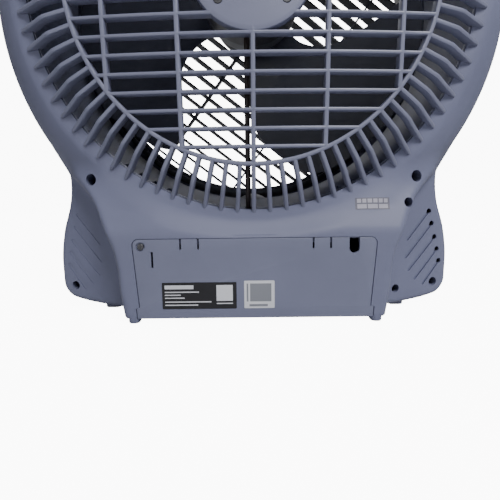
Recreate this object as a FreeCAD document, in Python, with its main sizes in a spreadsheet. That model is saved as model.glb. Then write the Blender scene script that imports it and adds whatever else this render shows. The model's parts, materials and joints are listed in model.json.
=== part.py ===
"""Box fan with a rotating louvre: a parametric FreeCAD document, one object per physical piece.

Frame: +Z up, +Y towards the rear (intake) side, -Y towards the front (louvre) side, millimetres.
The origin is the middle of the footprint on the floor.  The fan turns about a line along Y
at height axis_height.
"""
import FreeCAD, Part
import math
import os
import Sketcher
from FreeCAD import Vector, Placement, Rotation

doc = FreeCAD.newDocument("box_fan")

# ---------------------------------------------------------------- driving dimensions

DIMENSIONS = {
    # housing
    "axis_height": 270.0, "head_radius": 219.5, "wall": 2.5,
    "seam_y": -36.0, "front_face_y": -66.0, "lip_y": 46.5, "box_rear_y": 59.0,
    "base_bottom": 4.0, "waist_half": 169.5, "base_half": 184.0,
    "duct_rear_radius": 176.0, "duct_front_radius": 168.0, "duct_front_y": -30.0,
    "shoulder_radius": 184.6, "front_edge_round": 12.0,
    # rear grille
    "ring_radius": 140.0, "ring_width": 3.4, "ring_y": 64.0, "dome_rise": 8.0,
    "bar_pitch": 13.37, "bar_count": 20, "bar_thickness": 2.8, "bar_depth": 8.0,
    "post_pitch": 55.5, "post_thickness": 3.6,
    "rib_count": 82, "rib_thickness": 3.4, "rib_kink_radius": 160.0, "rib_foot_radius": 184.3,
    "boss_radius": 46.0, "boss_screw_circle": 35.0,
    # cover
    "cover_top": 71.0, "cover_thickness": 2.4, "cover_gap": 0.5,
    "notch_width": 8.4, "notch_x": -81.2, "notch_bottom": 58.2,
    # motor and blade
    "motor_radius": 40.0, "motor_rear_y": 65.0, "motor_front_y": 8.0, "stator_length": 20.0,
    "rotor_radius": 21.0, "air_gap": 0.4, "shaft_radius": 4.0, "bearing_radius": 8.0,
    "bearing_length": 12.0, "bearing_clearance": 0.03,
    "hub_radius": 34.0, "hub_length": 26.0, "hub_rear_y": 3.0, "blade_radius": 160.0,
    "blade_thickness": 2.4, "blade_count": 3, "nut_radius": 15.0, "nut_length": 12.0,
    # louvre
    "louvre_radius": 163.0, "louvre_inner": 157.0, "louvre_front_y": -70.0, "louvre_back_y": -58.0,
    "skirt_back_y": -46.0, "skirt_wall": 2.2, "vane_pitch": 12.7, "vane_thickness": 1.6,
    "cross_rib_pitch": 79.0, "vane_angle": 37.5, "vane_tilt": 7.0, "louvre_hub_radius": 17.0,
    "roller_radius": 9.0, "roller_width": 8.0, "roller_gap": 0.35, "roller_y": -53.7,
    "roller_bore": 2.5, "pin_radius": 2.45,
    # controls
    "knob_radius": 16.0, "knob_length": 14.0, "panel_y": -54.0, "panel_thickness": 2.5,
    "knob_x": 58.0, "knob_z": 50.0, "spindle_radius": 3.0,
    # handle
    "handle_top": 532.0, "handle_depth": 26.0, "handle_half": 84.0, "finger_height": 29.0,
    # lead
    "lead_radius": 2.1, "lead_x": 4.6,
}

sheet = doc.addObject("Spreadsheet::Sheet", "Dimensions")
for row, (alias, value) in enumerate(DIMENSIONS.items(), start=1):
    sheet.set(f"A{row}", alias)
    sheet.set(f"B{row}", str(value))
    sheet.setAlias(f"B{row}", alias)
doc.recompute()


def dim(alias):
    """The value of one cell of the sheet."""
    return float(getattr(sheet, alias))


def cell(alias):
    """The expression that reads one cell of the sheet."""
    return f"Dimensions.{alias}"


AXIS_Z = dim("axis_height")
WALL = dim("wall")
SEAM_Y = dim("seam_y")
FRONT_Y = dim("front_face_y")
FAR = 400.0
subparts = []


# ---------------------------------------------------------------- small shape helpers

def on_axis(y=0.0):
    """The point of the fan axis at depth y."""
    return Vector(0, y, AXIS_Z)


def polygon_face(points):
    """A planar face inside a closed run of corner points."""
    closed = [Vector(*p) for p in points]
    return Part.Face(Part.makePolygon(closed + [closed[0]]))


def turned_about_axis(profile):
    """Revolve a closed (radius, y) profile about the fan axis."""
    face = polygon_face([(radius, y, AXIS_Z) for radius, y in profile])
    return face.revolve(on_axis(), Vector(0, 1, 0), 360)


def disc(radius, y_low, y_high, x=0.0, z=None):
    """A round bar along Y, on the fan axis unless a place is given."""
    base = Vector(x, y_low, AXIS_Z if z is None else z)
    return Part.makeCylinder(radius, y_high - y_low, base, Vector(0, 1, 0))


def tube(outer, inner, y_low, y_high, x=0.0, z=None):
    """A round tube along Y."""
    bore = disc(inner, y_low - 1, y_high + 1, x, z)
    return disc(outer, y_low, y_high, x, z).cut(bore)


def block(x_low, x_high, y_low, y_high, z_low, z_high):
    """A box between two corners."""
    return Part.makeBox(x_high - x_low, y_high - y_low, z_high - z_low, Vector(x_low, y_low, z_low))


def polar(radius, degrees):
    """(x, z) at an angle measured from straight down, turning towards -X."""
    angle = math.radians(degrees)
    return -radius * math.sin(angle), AXIS_Z - radius * math.cos(angle)


def turn(shape, degrees):
    """A copy turned about the fan axis, from straight down towards -X."""
    copy = shape.copy()
    copy.rotate(on_axis(), Vector(0, 1, 0), degrees)
    return copy


def fuse(shapes):
    """Join a list of solids."""
    return shapes[0].multiFuse(shapes[1:])


def rounded(shape, radius, chosen):
    """Fillet the edges for which chosen(edge) is true."""
    return shape.makeFillet(radius, [edge for edge in shape.Edges if chosen(edge)])


# ---------------------------------------------------------------- document helpers

def add_shape(label, shape):
    """A sub-part whose shape comes from Part's own functions."""
    piece = doc.addObject("Part::Feature", label)
    piece.Label = label
    piece.Shape = shape
    subparts.append(piece)
    return piece


def add_primitive(kind, name, place, rotation=None, **cells):
    """A Part primitive with its sizes bound to expressions."""
    solid = doc.addObject(f"Part::{kind}", name)
    for size, expression in cells.items():
        solid.setExpression(size, expression)
    solid.Placement = Placement(place, rotation or Rotation())
    return solid


ALONG_Y = Rotation(Vector(1, 0, 0), -90)


def add_cylinder(name, place, radius, length):
    """A cylinder along +Y from a place, its sizes bound to expressions."""
    return add_primitive("Cylinder", name, place, ALONG_Y, Radius=radius, Height=length)


def add_cut(label, base, tool, keep=True):
    """A boolean cut of two document objects."""
    cut = doc.addObject("Part::Cut", label)
    cut.Base = base
    cut.Tool = tool
    cut.Label = label
    if keep:
        subparts.append(cut)
    return cut


def origin_plane(body, role):
    """The body's own origin plane or axis of that role."""
    return next(item for item in body.Origin.OriginFeatures if item.Role == role)


def size_of(item):
    """A size given as a cell's alias or as a plain number."""
    return dim(item) if isinstance(item, str) else float(item)


def expression_of(item):
    """The same size as an expression for the document."""
    return cell(item) if isinstance(item, str) else f"{float(item)}"


def stepped_corners(steps, bore):
    """Corner points (radius, height) of a stepped profile that starts at height 0."""
    corners = [(bore, 0.0)]
    height = 0.0
    for radius, length in steps:
        corners.append((size_of(radius), height))
        height += size_of(length)
        corners.append((size_of(radius), height))
    corners.append((bore, height))
    return corners


def add_turned(label, place, steps, bore=0, keep=True):
    """A turned PartDesign body along +Y: steps are (radius, length), bore is a radius."""
    body = doc.addObject("PartDesign::Body", label)
    body.Label = label
    sketch = body.newObject("Sketcher::SketchObject", f"{label}_profile")
    sketch.AttachmentSupport = [(origin_plane(body, "XY_Plane"), "")]
    sketch.MapMode = "FlatFace"
    corners = [Vector(x, y, 0) for x, y in stepped_corners(steps, size_of(bore))]
    count = len(corners)
    for number, corner in enumerate(corners):
        sketch.addGeometry(Part.LineSegment(corner, corners[(number + 1) % count]), False)
    for number in range(count):
        follower = (number + 1) % count
        kind = "Horizontal" if number % 2 == 0 else "Vertical"
        sketch.addConstraint(Sketcher.Constraint("Coincident", number, 2, follower, 1))
        sketch.addConstraint(Sketcher.Constraint(kind, number))
    sketch.addConstraint(Sketcher.Constraint("DistanceY", -1, 1, 0, 1, 0.0))

    def bind(kind, places, item):
        """Add one driving distance and bind it to its cell."""
        index = sketch.addConstraint(Sketcher.Constraint(kind, *places, size_of(item)))
        sketch.setExpression(f"Constraints[{index}]", expression_of(item))

    bind("DistanceX", (-1, 1, 0, 1), bore)
    for number, (radius, length) in enumerate(steps):
        side = 2 * number + 1
        bind("DistanceX", (-1, 1, side, 1), radius)
        bind("DistanceY", (side, 1, side, 2), length)
    revolution = body.newObject("PartDesign::Revolution", f"{label}_turned")
    revolution.Profile = sketch
    revolution.ReferenceAxis = (sketch, ["V_Axis"])
    revolution.Angle = 360
    body.Tip = revolution
    body.Placement = Placement(place, Rotation())
    if keep:
        subparts.append(body)
    return body


# ---------------------------------------------------------------- housing outline

BASE_Z = dim("base_bottom")
SHOULDER_CENTRE_R = 161.6
SHOULDER_CENTRE_Y = -6.0
CREST_Z = 77.0
SLOPE_Z, SLOPE_DROP = 105.0, 11.0
SPINE_TOP_Z, SPINE_TOP_DROP = 121.0, 27.0
SPINE_ROUND = 8.0
CORNER_RISE = 18.5
FLARE_TOP = (195.3, 176.0)
FLARE_INSIDE = (150.0, 230.0)
BASE_SIDE = [(27.0, 0.0), (51.0, -0.3), (75.0, -4.8), (98.0, -12.2), (110.0, -14.2)]
SPINE_SIDE = [(4.0, 107.0), (25.0, 110.5), (50.0, 113.5), (77.0, 121.0), (98.0, 130.0), (120.0, 140.0)]
WING_PLAN = [(112.0, 30.5), (141.0, 18.0), (165.0, 11.0), (196.0, 0.0)]


def spline_edge(points):
    """A smooth edge through points."""
    curve = Part.BSplineCurve()
    curve.interpolate([Vector(*p) for p in points])
    return curve.toShape()


def line_edge(start, end):
    """A straight edge."""
    return Part.LineSegment(Vector(*start), Vector(*end)).toShape()


def mirrored_x(points):
    """The same run of points on the -X side, in reverse order."""
    return [(-x, y, z) for x, y, z in reversed(points)]


def base_outline(inset, y):
    """The outline of the foot of the housing: wide base, waist and flare into the head."""
    half = dim("base_half") - inset
    low = BASE_Z + inset
    corner = CORNER_RISE - inset
    side = [(half + shift, y, z) for z, shift in BASE_SIDE]
    waist = (dim("waist_half") - inset, y, 126.5)
    flare = (FLARE_TOP[0] - inset, y, FLARE_TOP[1])
    inside = (FLARE_INSIDE[0], y, FLARE_INSIDE[1])
    start = (half - corner, y, low)
    bend = corner * (1 - math.sqrt(0.5))
    middle = (half - bend, y, low + bend)
    end = (half, y, low + corner)
    edges = [
        line_edge((-start[0], y, low), start),
        Part.Arc(Vector(*start), Vector(*middle), Vector(*end)).toShape(),
        line_edge(end, side[0]),
        spline_edge(side),
        line_edge(side[-1], waist),
        line_edge(waist, flare),
        line_edge(flare, inside),
        line_edge(inside, mirrored_x([inside])[0]),
        line_edge(mirrored_x([inside])[0], mirrored_x([flare])[0]),
        line_edge(mirrored_x([flare])[0], mirrored_x([waist])[0]),
        line_edge(mirrored_x([waist])[0], mirrored_x([side[-1]])[0]),
        spline_edge(mirrored_x(side)),
        line_edge(mirrored_x([side[0]])[0], mirrored_x([end])[0]),
        Part.Arc(Vector(-end[0], y, end[2]), Vector(-middle[0], y, middle[2]),
                 Vector(-start[0], y, low)).toShape(),
    ]
    return Part.Face(Part.Wire(edges))


def head_solid(inset):
    """The round head: a flat-topped disc whose rear shoulder rounds down to its side."""
    radius = dim("head_radius") - inset
    round_radius = radius - SHOULDER_CENTRE_R
    top = dim("lip_y") - inset
    rise = top - SHOULDER_CENTRE_Y
    shoulder = SHOULDER_CENTRE_R + math.sqrt(round_radius ** 2 - rise ** 2)
    half_way = math.asin(rise / round_radius) / 2
    middle = (SHOULDER_CENTRE_R + round_radius * math.cos(half_way),
              SHOULDER_CENTRE_Y + round_radius * math.sin(half_way))
    edges = [
        line_edge((0, SEAM_Y, AXIS_Z), (radius, SEAM_Y, AXIS_Z)),
        line_edge((radius, SEAM_Y, AXIS_Z), (radius, SHOULDER_CENTRE_Y, AXIS_Z)),
        Part.Arc(Vector(radius, SHOULDER_CENTRE_Y, AXIS_Z), Vector(middle[0], middle[1], AXIS_Z),
                 Vector(shoulder, top, AXIS_Z)).toShape(),
        line_edge((shoulder, top, AXIS_Z), (0, top, AXIS_Z)),
        line_edge((0, top, AXIS_Z), (0, SEAM_Y, AXIS_Z)),
    ]
    return Part.Face(Part.Wire(edges)).revolve(on_axis(), Vector(0, 1, 0), 360)


def base_solid(inset):
    """The wide foot with its two wings, whose rear faces sweep forward to the sides."""
    plan = [(x, y - inset) for x, y in WING_PLAN]
    right = [(x, y, -1.0) for x, y in plan]
    edges = [
        spline_edge(right),
        line_edge(right[-1], (right[-1][0], SEAM_Y, -1.0)),
        line_edge((right[-1][0], SEAM_Y, -1.0), (-right[-1][0], SEAM_Y, -1.0)),
        line_edge((-right[-1][0], SEAM_Y, -1.0), (-right[-1][0], right[-1][1], -1.0)),
        spline_edge(mirrored_x(right)),
        line_edge(mirrored_x(right)[-1], right[0]),
    ]
    sweep = Part.Face(Part.Wire(edges)).extrude(Vector(0, 0, 240))
    outline = base_outline(inset, SEAM_Y).extrude(Vector(0, 70, 0))
    return outline.common(sweep)


def spine_solid(inset):
    """The rear compartment: it stands out behind the foot and slopes up to the grille."""
    side = [(x - inset, SEAM_Y, max(z, BASE_Z + inset)) for z, x in SPINE_SIDE]
    outline = Part.Face(Part.Wire([
        spline_edge(side),
        line_edge(side[-1], mirrored_x([side[-1]])[0]),
        spline_edge(mirrored_x(side)),
        line_edge(mirrored_x([side[0]])[0], side[0]),
    ])).extrude(Vector(0, 120, 0))
    rear = dim("box_rear_y") - inset
    low = BASE_Z + inset
    profile = polygon_face([
        (-FAR / 2, SEAM_Y, low), (-FAR / 2, rear, low), (-FAR / 2, rear, CREST_Z - inset / 2),
        (-FAR / 2, rear - SLOPE_DROP, SLOPE_Z), (-FAR / 2, rear - SPINE_TOP_DROP, SPINE_TOP_Z),
        (-FAR / 2, SEAM_Y, SPINE_TOP_Z)]).extrude(Vector(FAR, 0, 0))
    solid = outline.common(profile)

    def turned_down(edge):
        """The crest and the two upright edges of the flat rear face."""
        bounds = edge.BoundBox
        return bounds.YMin > rear - 0.5 and (bounds.ZMin > CREST_Z - 10.0 or bounds.ZLength > 20.0)

    return rounded(solid, SPINE_ROUND - inset, turned_down)


def dish_solid(inset):
    """The round hollow in front of the grille's feet that the sloping shoulder is cut back to."""
    low = dim("lip_y") - inset
    start = dim("shoulder_radius") + inset
    return turned_about_axis([(0, low), (start, low), (start + 11.6, low + 20.0), (0, low + 20.0)])


def housing_solid(inset):
    """The whole rear half of the housing as one filled solid."""
    back = spine_solid(inset).cut(dish_solid(inset))
    return fuse([head_solid(inset), base_solid(inset), back])


# ---------------------------------------------------------------- screws and their wells

SCREW_SHANK = 1.9
SCREW_PILOT = 1.7
WELL_FLOOR_Y = -27.0
WELL_FLOOR = 3.0
BOSS_FRONT_Y = FRONT_Y + WALL
# (x, z, radius of the well)
WELLS = [(136.5, 120.0, 4.9), (-136.5, 120.0, 4.9), (-127.3, 98.3, 4.0),
         (170.5, 22.0, 4.1), (-170.5, 22.0, 4.1), (-130.0, 18.7, 3.9),
         (144.0, 414.0, 4.9), (-144.0, 414.0, 4.9)]
WELL_WALL = 2.0

# ---------------------------------------------------------------- compartment cover outline

COVER_SIDE = [(99.4, 66.0), (95.6, 14.0), (98.4, 13.4), (97.8, 4.4)]
COVER_CORNER = 5.0
COVER_SCREW = (92.6, 65.0)
TAB_SLOTS = [60.3, 45.8, -47.9, -62.1]
LEAD_HOLE_Y = 38.0


def cover_prism(grow, y_low, y_high):
    """The tapered outline of the compartment cover, grown all round, between two depths."""
    top = dim("cover_top") + grow
    (x1, z1), (x2, z2), (x3, z3), (x4, z4) = COVER_SIDE
    z4 = z4 - grow
    corner = COVER_CORNER + grow
    bend = corner * (1 - math.sqrt(0.5))
    right = [(x1 + grow, y_low, top - corner), (x2 + grow, y_low, z2),
             (x3 + grow, y_low, z3), (x4 + grow, y_low, z4)]
    left = mirrored_x(right)
    top_right = (x1 + grow - corner, y_low, top)
    bend_right = (x1 + grow - bend, y_low, top - bend)
    edges = [Part.Arc(Vector(*top_right), Vector(*bend_right), Vector(*right[0])).toShape()]
    edges += [line_edge(right[i], right[i + 1]) for i in range(3)]
    edges.append(line_edge(right[3], left[0]))
    edges += [line_edge(left[i], left[i + 1]) for i in range(3)]
    edges.append(Part.Arc(Vector(*left[3]), Vector(-bend_right[0], y_low, bend_right[2]),
                          Vector(-top_right[0], y_low, top)).toShape())
    edges.append(line_edge((-top_right[0], y_low, top), top_right))
    return Part.Face(Part.Wire(edges)).extrude(Vector(0, y_high - y_low, 0))


# ---------------------------------------------------------------- rear shell

GROOVE_WIDTH = 1.8
GROOVE_DEPTH = 1.0
GROOVE_END_RADIUS = 2.4
GROOVES = [((162.5, 89.2), (141.2, 63.8)), ((166.0, 77.6), (140.3, 47.2)),
           ((170.0, 64.8), (143.8, 35.1)), ((173.3, 53.3), (150.7, 26.5)),
           ((176.0, 41.7), (159.5, 21.0))]
REAR_FOOT = (103.0, 53.0, 9.5, 12.0)
WING_FOOT = (135.5, 5.0, 14.5, 14.0)
DUCT_WALL = 2.5


def groove_tools():
    """Slanting slots over both wings, and the five round ends that go through the -X wing."""
    slots = []
    ends = []
    for (x_top, z_top), (x_low, z_low) in GROOVES:
        length = math.hypot(x_top - x_low, z_top - z_low)
        slope = math.degrees(math.atan2(z_top - z_low, x_top - x_low))
        slot = block(0, length, -30, 40, -GROOVE_WIDTH / 2, GROOVE_WIDTH / 2)
        slot = slot.fuse(disc(GROOVE_WIDTH / 2, -30, 40, 0, 0))
        slot.rotate(Vector(0, 0, 0), Vector(0, 1, 0), -slope)
        slot.translate(Vector(x_low, 0, z_low))
        slots += [slot, slot.mirror(Vector(0, 0, 0), Vector(1, 0, 0))]
        ends.append(disc(GROOVE_END_RADIUS, -30, 40, -x_top, z_top))
    return slots, ends


def foot_pad(x, y, width, depth):
    """One moulded foot under the housing, rounded at its lower edge."""
    pad = block(x - width / 2, x + width / 2, y - depth / 2, y + depth / 2, 0, BASE_Z + 1.5)
    return rounded(pad, 1.2, lambda edge: edge.BoundBox.ZMax < 0.1)


def duct_profile():
    """The (radius, y) profile of the fan duct's wall."""
    rear, front = dim("duct_rear_radius"), dim("duct_front_radius")
    lip, end = dim("lip_y"), dim("duct_front_y")
    return [(rear, lip), (rear + DUCT_WALL, lip), (front + DUCT_WALL, end), (front, end)]


def make_rear_shell():
    """Rear half of the housing with duct, compartment opening, screw wells and feet."""
    outer = housing_solid(0.0)
    slots, ends = groove_tools()
    skin = fuse(slots).cut(base_solid(GROOVE_DEPTH))
    shell = outer.cut(housing_solid(WALL)).cut(skin).cut(fuse(ends))
    rear, front = dim("duct_rear_radius"), dim("duct_front_radius")
    lip, end = dim("lip_y"), dim("duct_front_y")
    bore = turned_about_axis([(0, end - 20), (front, end - 20), (front, end), (rear, lip),
                              (rear, lip + 30), (0, lip + 30)])
    additions = [turned_about_axis(duct_profile())]
    rear_y = dim("box_rear_y")
    ledge_y = rear_y - WALL
    ledge = cover_prism(4.0, ledge_y - 2.0, ledge_y).cut(cover_prism(-4.0, ledge_y - 3, ledge_y + 1))
    ledge = ledge.common(spine_solid(1.0))
    additions.append(ledge)
    additions.append(disc(4.0, 44.0, ledge_y, *COVER_SCREW))
    feet = [foot_pad(sign * x, y, w, d) for x, y, w, d in (REAR_FOOT, WING_FOOT) for sign in (1, -1)]
    additions += feet
    holes = [cover_prism(dim("cover_gap"), ledge_y, rear_y + 5),
             disc(1.2, 43.0, ledge_y + 1, *COVER_SCREW),
             disc(3.2, LEAD_HOLE_Y - 9, LEAD_HOLE_Y + 5, dim("lead_x"), 94.0)]
    for x, z, radius in WELLS:
        well = disc(radius + WELL_WALL, WELL_FLOOR_Y - WELL_FLOOR, 60, x, z)
        additions.append(well.common(outer))
        holes.append(disc(radius, WELL_FLOOR_Y, 62, x, z))
        holes.append(disc(SCREW_SHANK + 0.3, WELL_FLOOR_Y - WELL_FLOOR - 1, WELL_FLOOR_Y + 1, x, z))
    solid = fuse([shell.cut(bore)] + additions)
    return solid.cut(fuse(holes)).removeSplitter()


add_shape("rear_shell", make_rear_shell())


# ---------------------------------------------------------------- rear grille

def dome_y(radius):
    """Outer depth of the domed face at a radius: a shallow part of a sphere."""
    rim, rise = dim("ring_radius"), dim("dome_rise")
    sphere = (rim ** 2 + rise ** 2) / (2 * rise)
    return dim("ring_y") + rise - sphere + math.sqrt(sphere ** 2 - radius ** 2)


def dome_band(depth, low_radius, high_radius):
    """The dome as a band of that depth between two radii."""
    radii = [low_radius, (low_radius + high_radius) / 2, high_radius]
    outer = [Vector(r, dome_y(r), AXIS_Z) for r in radii]
    inner = [point - Vector(0, depth, 0) for point in outer]
    edges = [Part.Arc(*outer).toShape(), line_edge(outer[2], inner[2]),
             Part.Arc(*reversed(inner)).toShape(), line_edge(inner[0], outer[0])]
    return Part.Face(Part.Wire(edges)).revolve(on_axis(), Vector(0, 1, 0), 360)


def make_rib():
    """One radial fin: gentle slope from the ring, a kink, then steep down to the housing."""
    lip = dim("lip_y")
    kink = dim("rib_kink_radius")
    foot = dim("rib_foot_radius")
    half = dim("rib_thickness") / 2
    inside = dim("duct_rear_radius") - 0.6
    outline = [(138.6, 64.0), (kink - 1.5, 61.6), (kink + 2.5, 60.0), (foot - 1.0, lip + 1.6),
               (foot, lip), (inside, lip), (inside - 0.8, lip - 6.0), (kink + 10.0, lip - 3.0),
               (kink - 2.0, lip + 4.5), (138.6, 54.0)]
    return polygon_face([(-half, y, AXIS_Z - r) for r, y in outline]).extrude(Vector(2 * half, 0, 0))


def make_rear_grille():
    """Domed grille: bars and posts inside a ring, radial ribs out to the duct's lip."""
    ring = dim("ring_radius")
    ring_half = dim("ring_width") / 2
    ring_y = dim("ring_y")
    lip = dim("lip_y")
    boss = dim("boss_radius")
    bars = []
    for number in range(int(dim("bar_count"))):
        z = AXIS_Z + (number - (dim("bar_count") - 1) / 2) * dim("bar_pitch")
        half = dim("bar_thickness") / 2
        bars.append(block(-ring, ring, 40, 90, z - half, z + half))
    for number in range(-2, 3):
        x = number * dim("post_pitch")
        half = dim("post_thickness") / 2
        bars.append(block(x - half, x + half, 40, 90, AXIS_Z - ring, AXIS_Z + ring))
    lattice = fuse(bars).common(dome_band(dim("bar_depth"), 0.0, ring))
    lattice = lattice.cut(disc(boss - 3.0, 30, 90))
    rim = turned_about_axis([(ring - ring_half, ring_y - 8.0), (ring + ring_half, ring_y - 8.0),
                             (ring + ring_half, ring_y - 0.8), (ring + ring_half - 0.8, ring_y),
                             (ring - ring_half + 0.8, ring_y), (ring - ring_half, ring_y - 0.8)])
    seat = dim("duct_rear_radius") - 0.6
    seat_ring = turned_about_axis([(seat - 3.0, lip - 6.0), (seat - 0.7, lip - 6.0),
                                   (seat, lip - 1.0), (seat - 3.0, lip - 1.0)])
    centre = dome_band(3.0, 0.0, boss)
    centre = centre.fuse(dome_band(dim("bar_depth"), boss - 3.0, boss))
    pitch = 360.0 / dim("rib_count")
    rib = make_rib()
    ribs = [turn(rib, pitch * number) for number in range(int(dim("rib_count")))]
    lead_gap = block(dim("lead_x") - 2.6, dim("lead_x") + 2.6, lip - 7, lip, 80, 110)
    grille = fuse([rim, seat_ring, lattice, centre] + ribs).cut(lead_gap)
    screws = dim("boss_screw_circle")
    holes = [disc(2.0, 55, 80, *polar(screws, 45 + 90 * number)) for number in range(4)]
    sinks = [disc(3.6, dome_y(screws) - 1.2, 80, *polar(screws, 45 + 90 * n)) for n in range(4)]
    return grille.cut(fuse(holes + sinks))


add_shape("rear_grille", make_rear_grille())


# ---------------------------------------------------------------- front shell and controls

PANEL_HALF = 98.0
PANEL_LOW = 20.0
PANEL_HIGH = 82.0
FRONT_FOOT = (140.0, -52.0, 18.0, 14.0)
OPENING_RADIUS = 165.2
EAR_X, EAR_Z = 27.0, 91.65
ROLLER_ANGLES = {"drive": 0.0, "idler_a": 120.0, "idler_b": 240.0}
ROLLER_CIRCLE = dim("louvre_radius") + dim("roller_gap") + dim("roller_radius")


def front_solid(inset, y_low, y_high):
    """The outline of the front half between two depths, filled."""
    wheel = disc(dim("head_radius") - inset, y_low, y_high)
    foot = base_outline(inset, y_low).extrude(Vector(0, y_high - y_low, 0))
    return wheel.fuse(foot)


def make_front_shell():
    """Front bezel: round louvre opening above, recess for the control panel below."""
    edge_round = dim("front_edge_round")
    wheel = disc(dim("head_radius"), FRONT_Y, SEAM_Y)
    wheel = rounded(wheel, edge_round, lambda edge: edge.BoundBox.YMax < FRONT_Y + 0.1)
    foot = base_outline(0.0, FRONT_Y).extrude(Vector(0, SEAM_Y - FRONT_Y, 0))
    chamfered = base_outline(edge_round * 0.6, FRONT_Y).extrude(Vector(0, SEAM_Y - FRONT_Y, 0))
    foot = foot.common(block(-FAR, FAR, FRONT_Y + 5.0, SEAM_Y, -10, FAR)).fuse(chamfered)
    outer = wheel.fuse(foot)
    hollow = front_solid(WALL, FRONT_Y + WALL + 5.0, SEAM_Y + 1)
    hollow = hollow.fuse(front_solid(edge_round, FRONT_Y + WALL, SEAM_Y))
    shell = outer.cut(hollow)
    face = FRONT_Y + WALL
    panel_y = dim("panel_y")
    frame_outer = block(-PANEL_HALF - WALL, PANEL_HALF + WALL, face - 1, panel_y,
                        PANEL_LOW - WALL, PANEL_HIGH + WALL)
    additions = [frame_outer]
    holes = [disc(OPENING_RADIUS, FRONT_Y - 1, face + 1),
             block(-PANEL_HALF, PANEL_HALF, FRONT_Y - 1, SEAM_Y, PANEL_LOW, PANEL_HIGH)]
    for x, z, radius in WELLS:
        additions.append(disc(4.5, face - 0.5, WELL_FLOOR_Y - WELL_FLOOR, x, z))
        holes.append(disc(SCREW_PILOT, face + 6, WELL_FLOOR_Y, x, z))
    for label, angle in ROLLER_ANGLES.items():
        if label != "drive":
            x, z = polar(ROLLER_CIRCLE, angle)
            additions.append(disc(4.2, face - 0.5, dim("roller_y") - 0.6, x, z))
            holes.append(disc(dim("pin_radius") - 0.1, face + 1, dim("roller_y"), x, z))
    for side in (1, -1):
        additions.append(disc(4.0, face - 0.5, -44.5, side * EAR_X, EAR_Z))
        holes.append(disc(1.3, face + 2, -44.0, side * EAR_X, EAR_Z))
    x, y, width, depth = FRONT_FOOT
    additions += [foot_pad(sign * x, y, width, depth) for sign in (1, -1)]
    return fuse([shell] + additions).cut(fuse(holes)).removeSplitter()


add_shape("front_shell", make_front_shell())

KNOB_PLACES = {"speed_knob": -dim("knob_x"), "timer_knob": dim("knob_x")}
ROCKER_HALF_X, ROCKER_HALF_Z = 7.0, 11.0


def make_control_panel():
    """Flat fascia plate behind the recess, with holes for the two spindles and the rocker."""
    y = dim("panel_y")
    back = y + dim("panel_thickness")
    plate = block(-PANEL_HALF - 2, PANEL_HALF + 2, y, back, PANEL_LOW - 2, PANEL_HIGH + 2)
    holes = [disc(dim("spindle_radius") + 1.2, y - 1, back + 1, x, dim("knob_z"))
             for x in KNOB_PLACES.values()]
    holes.append(block(-ROCKER_HALF_X - 0.6, ROCKER_HALF_X + 0.6, y - 1, back + 1,
                       dim("knob_z") - ROCKER_HALF_Z - 0.6, dim("knob_z") + ROCKER_HALF_Z + 0.6))
    return plate.cut(fuse(holes))


add_shape("control_panel", make_control_panel())


def make_knob(x):
    """A turned knob with a grip bar across it, and its spindle reaching through the panel."""
    z = dim("knob_z")
    front = dim("panel_y") - 0.5 - dim("knob_length")
    skirt = disc(dim("knob_radius"), dim("panel_y") - 4.5, dim("panel_y") - 0.5, x, z)
    cap = disc(dim("knob_radius") - 2.0, front + 4.0, dim("panel_y") - 4.0, x, z)
    grip = block(x - 4.0, x + 4.0, front, dim("panel_y") - 4.0, z - dim("knob_radius") + 2.5,
                 z + dim("knob_radius") - 2.5)
    grip = rounded(grip, 1.5, lambda edge: edge.BoundBox.YMax < front + 0.1)
    spindle = disc(dim("spindle_radius"), dim("panel_y") - 1.0, dim("panel_y") + 10.0, x, z)
    return fuse([skirt, cap, grip, spindle])


for knob_label, knob_x in KNOB_PLACES.items():
    add_shape(knob_label, make_knob(knob_x))


def make_rocker():
    """A rocker button that tips about a cross line level with the panel."""
    y, z = dim("panel_y"), dim("knob_z")
    profile = [(y - 4.2, z + ROCKER_HALF_Z), (y - 1.6, z), (y - 2.0, z - ROCKER_HALF_Z),
               (y + 4.0, z - ROCKER_HALF_Z + 2.5), (y + 4.0, z + ROCKER_HALF_Z - 2.5)]
    face = polygon_face([(-ROCKER_HALF_X, py, pz) for py, pz in profile])
    return face.extrude(Vector(2 * ROCKER_HALF_X, 0, 0))


add_shape("louvre_rocker", make_rocker())


# ---------------------------------------------------------------- switchgear behind the panel

PANEL_BACK = dim("panel_y") + dim("panel_thickness")


def case_with_spindle_hole(x, half, depth, bore):
    """A closed case behind the panel with a blind hole for the knob's spindle."""
    z = dim("knob_z")
    case = block(x - half, x + half, PANEL_BACK + 0.2, PANEL_BACK + depth, z - half, z + half)
    terminals = [block(x + shift - 2.4, x + shift + 2.4, PANEL_BACK + depth, PANEL_BACK + depth + 6,
                       z - 0.4, z + 0.4) for shift in (-9, 0, 9)]
    hole = disc(bore, PANEL_BACK - 1, dim("panel_y") + 11.0, x, z)
    return fuse([case] + terminals).cut(hole)


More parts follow.
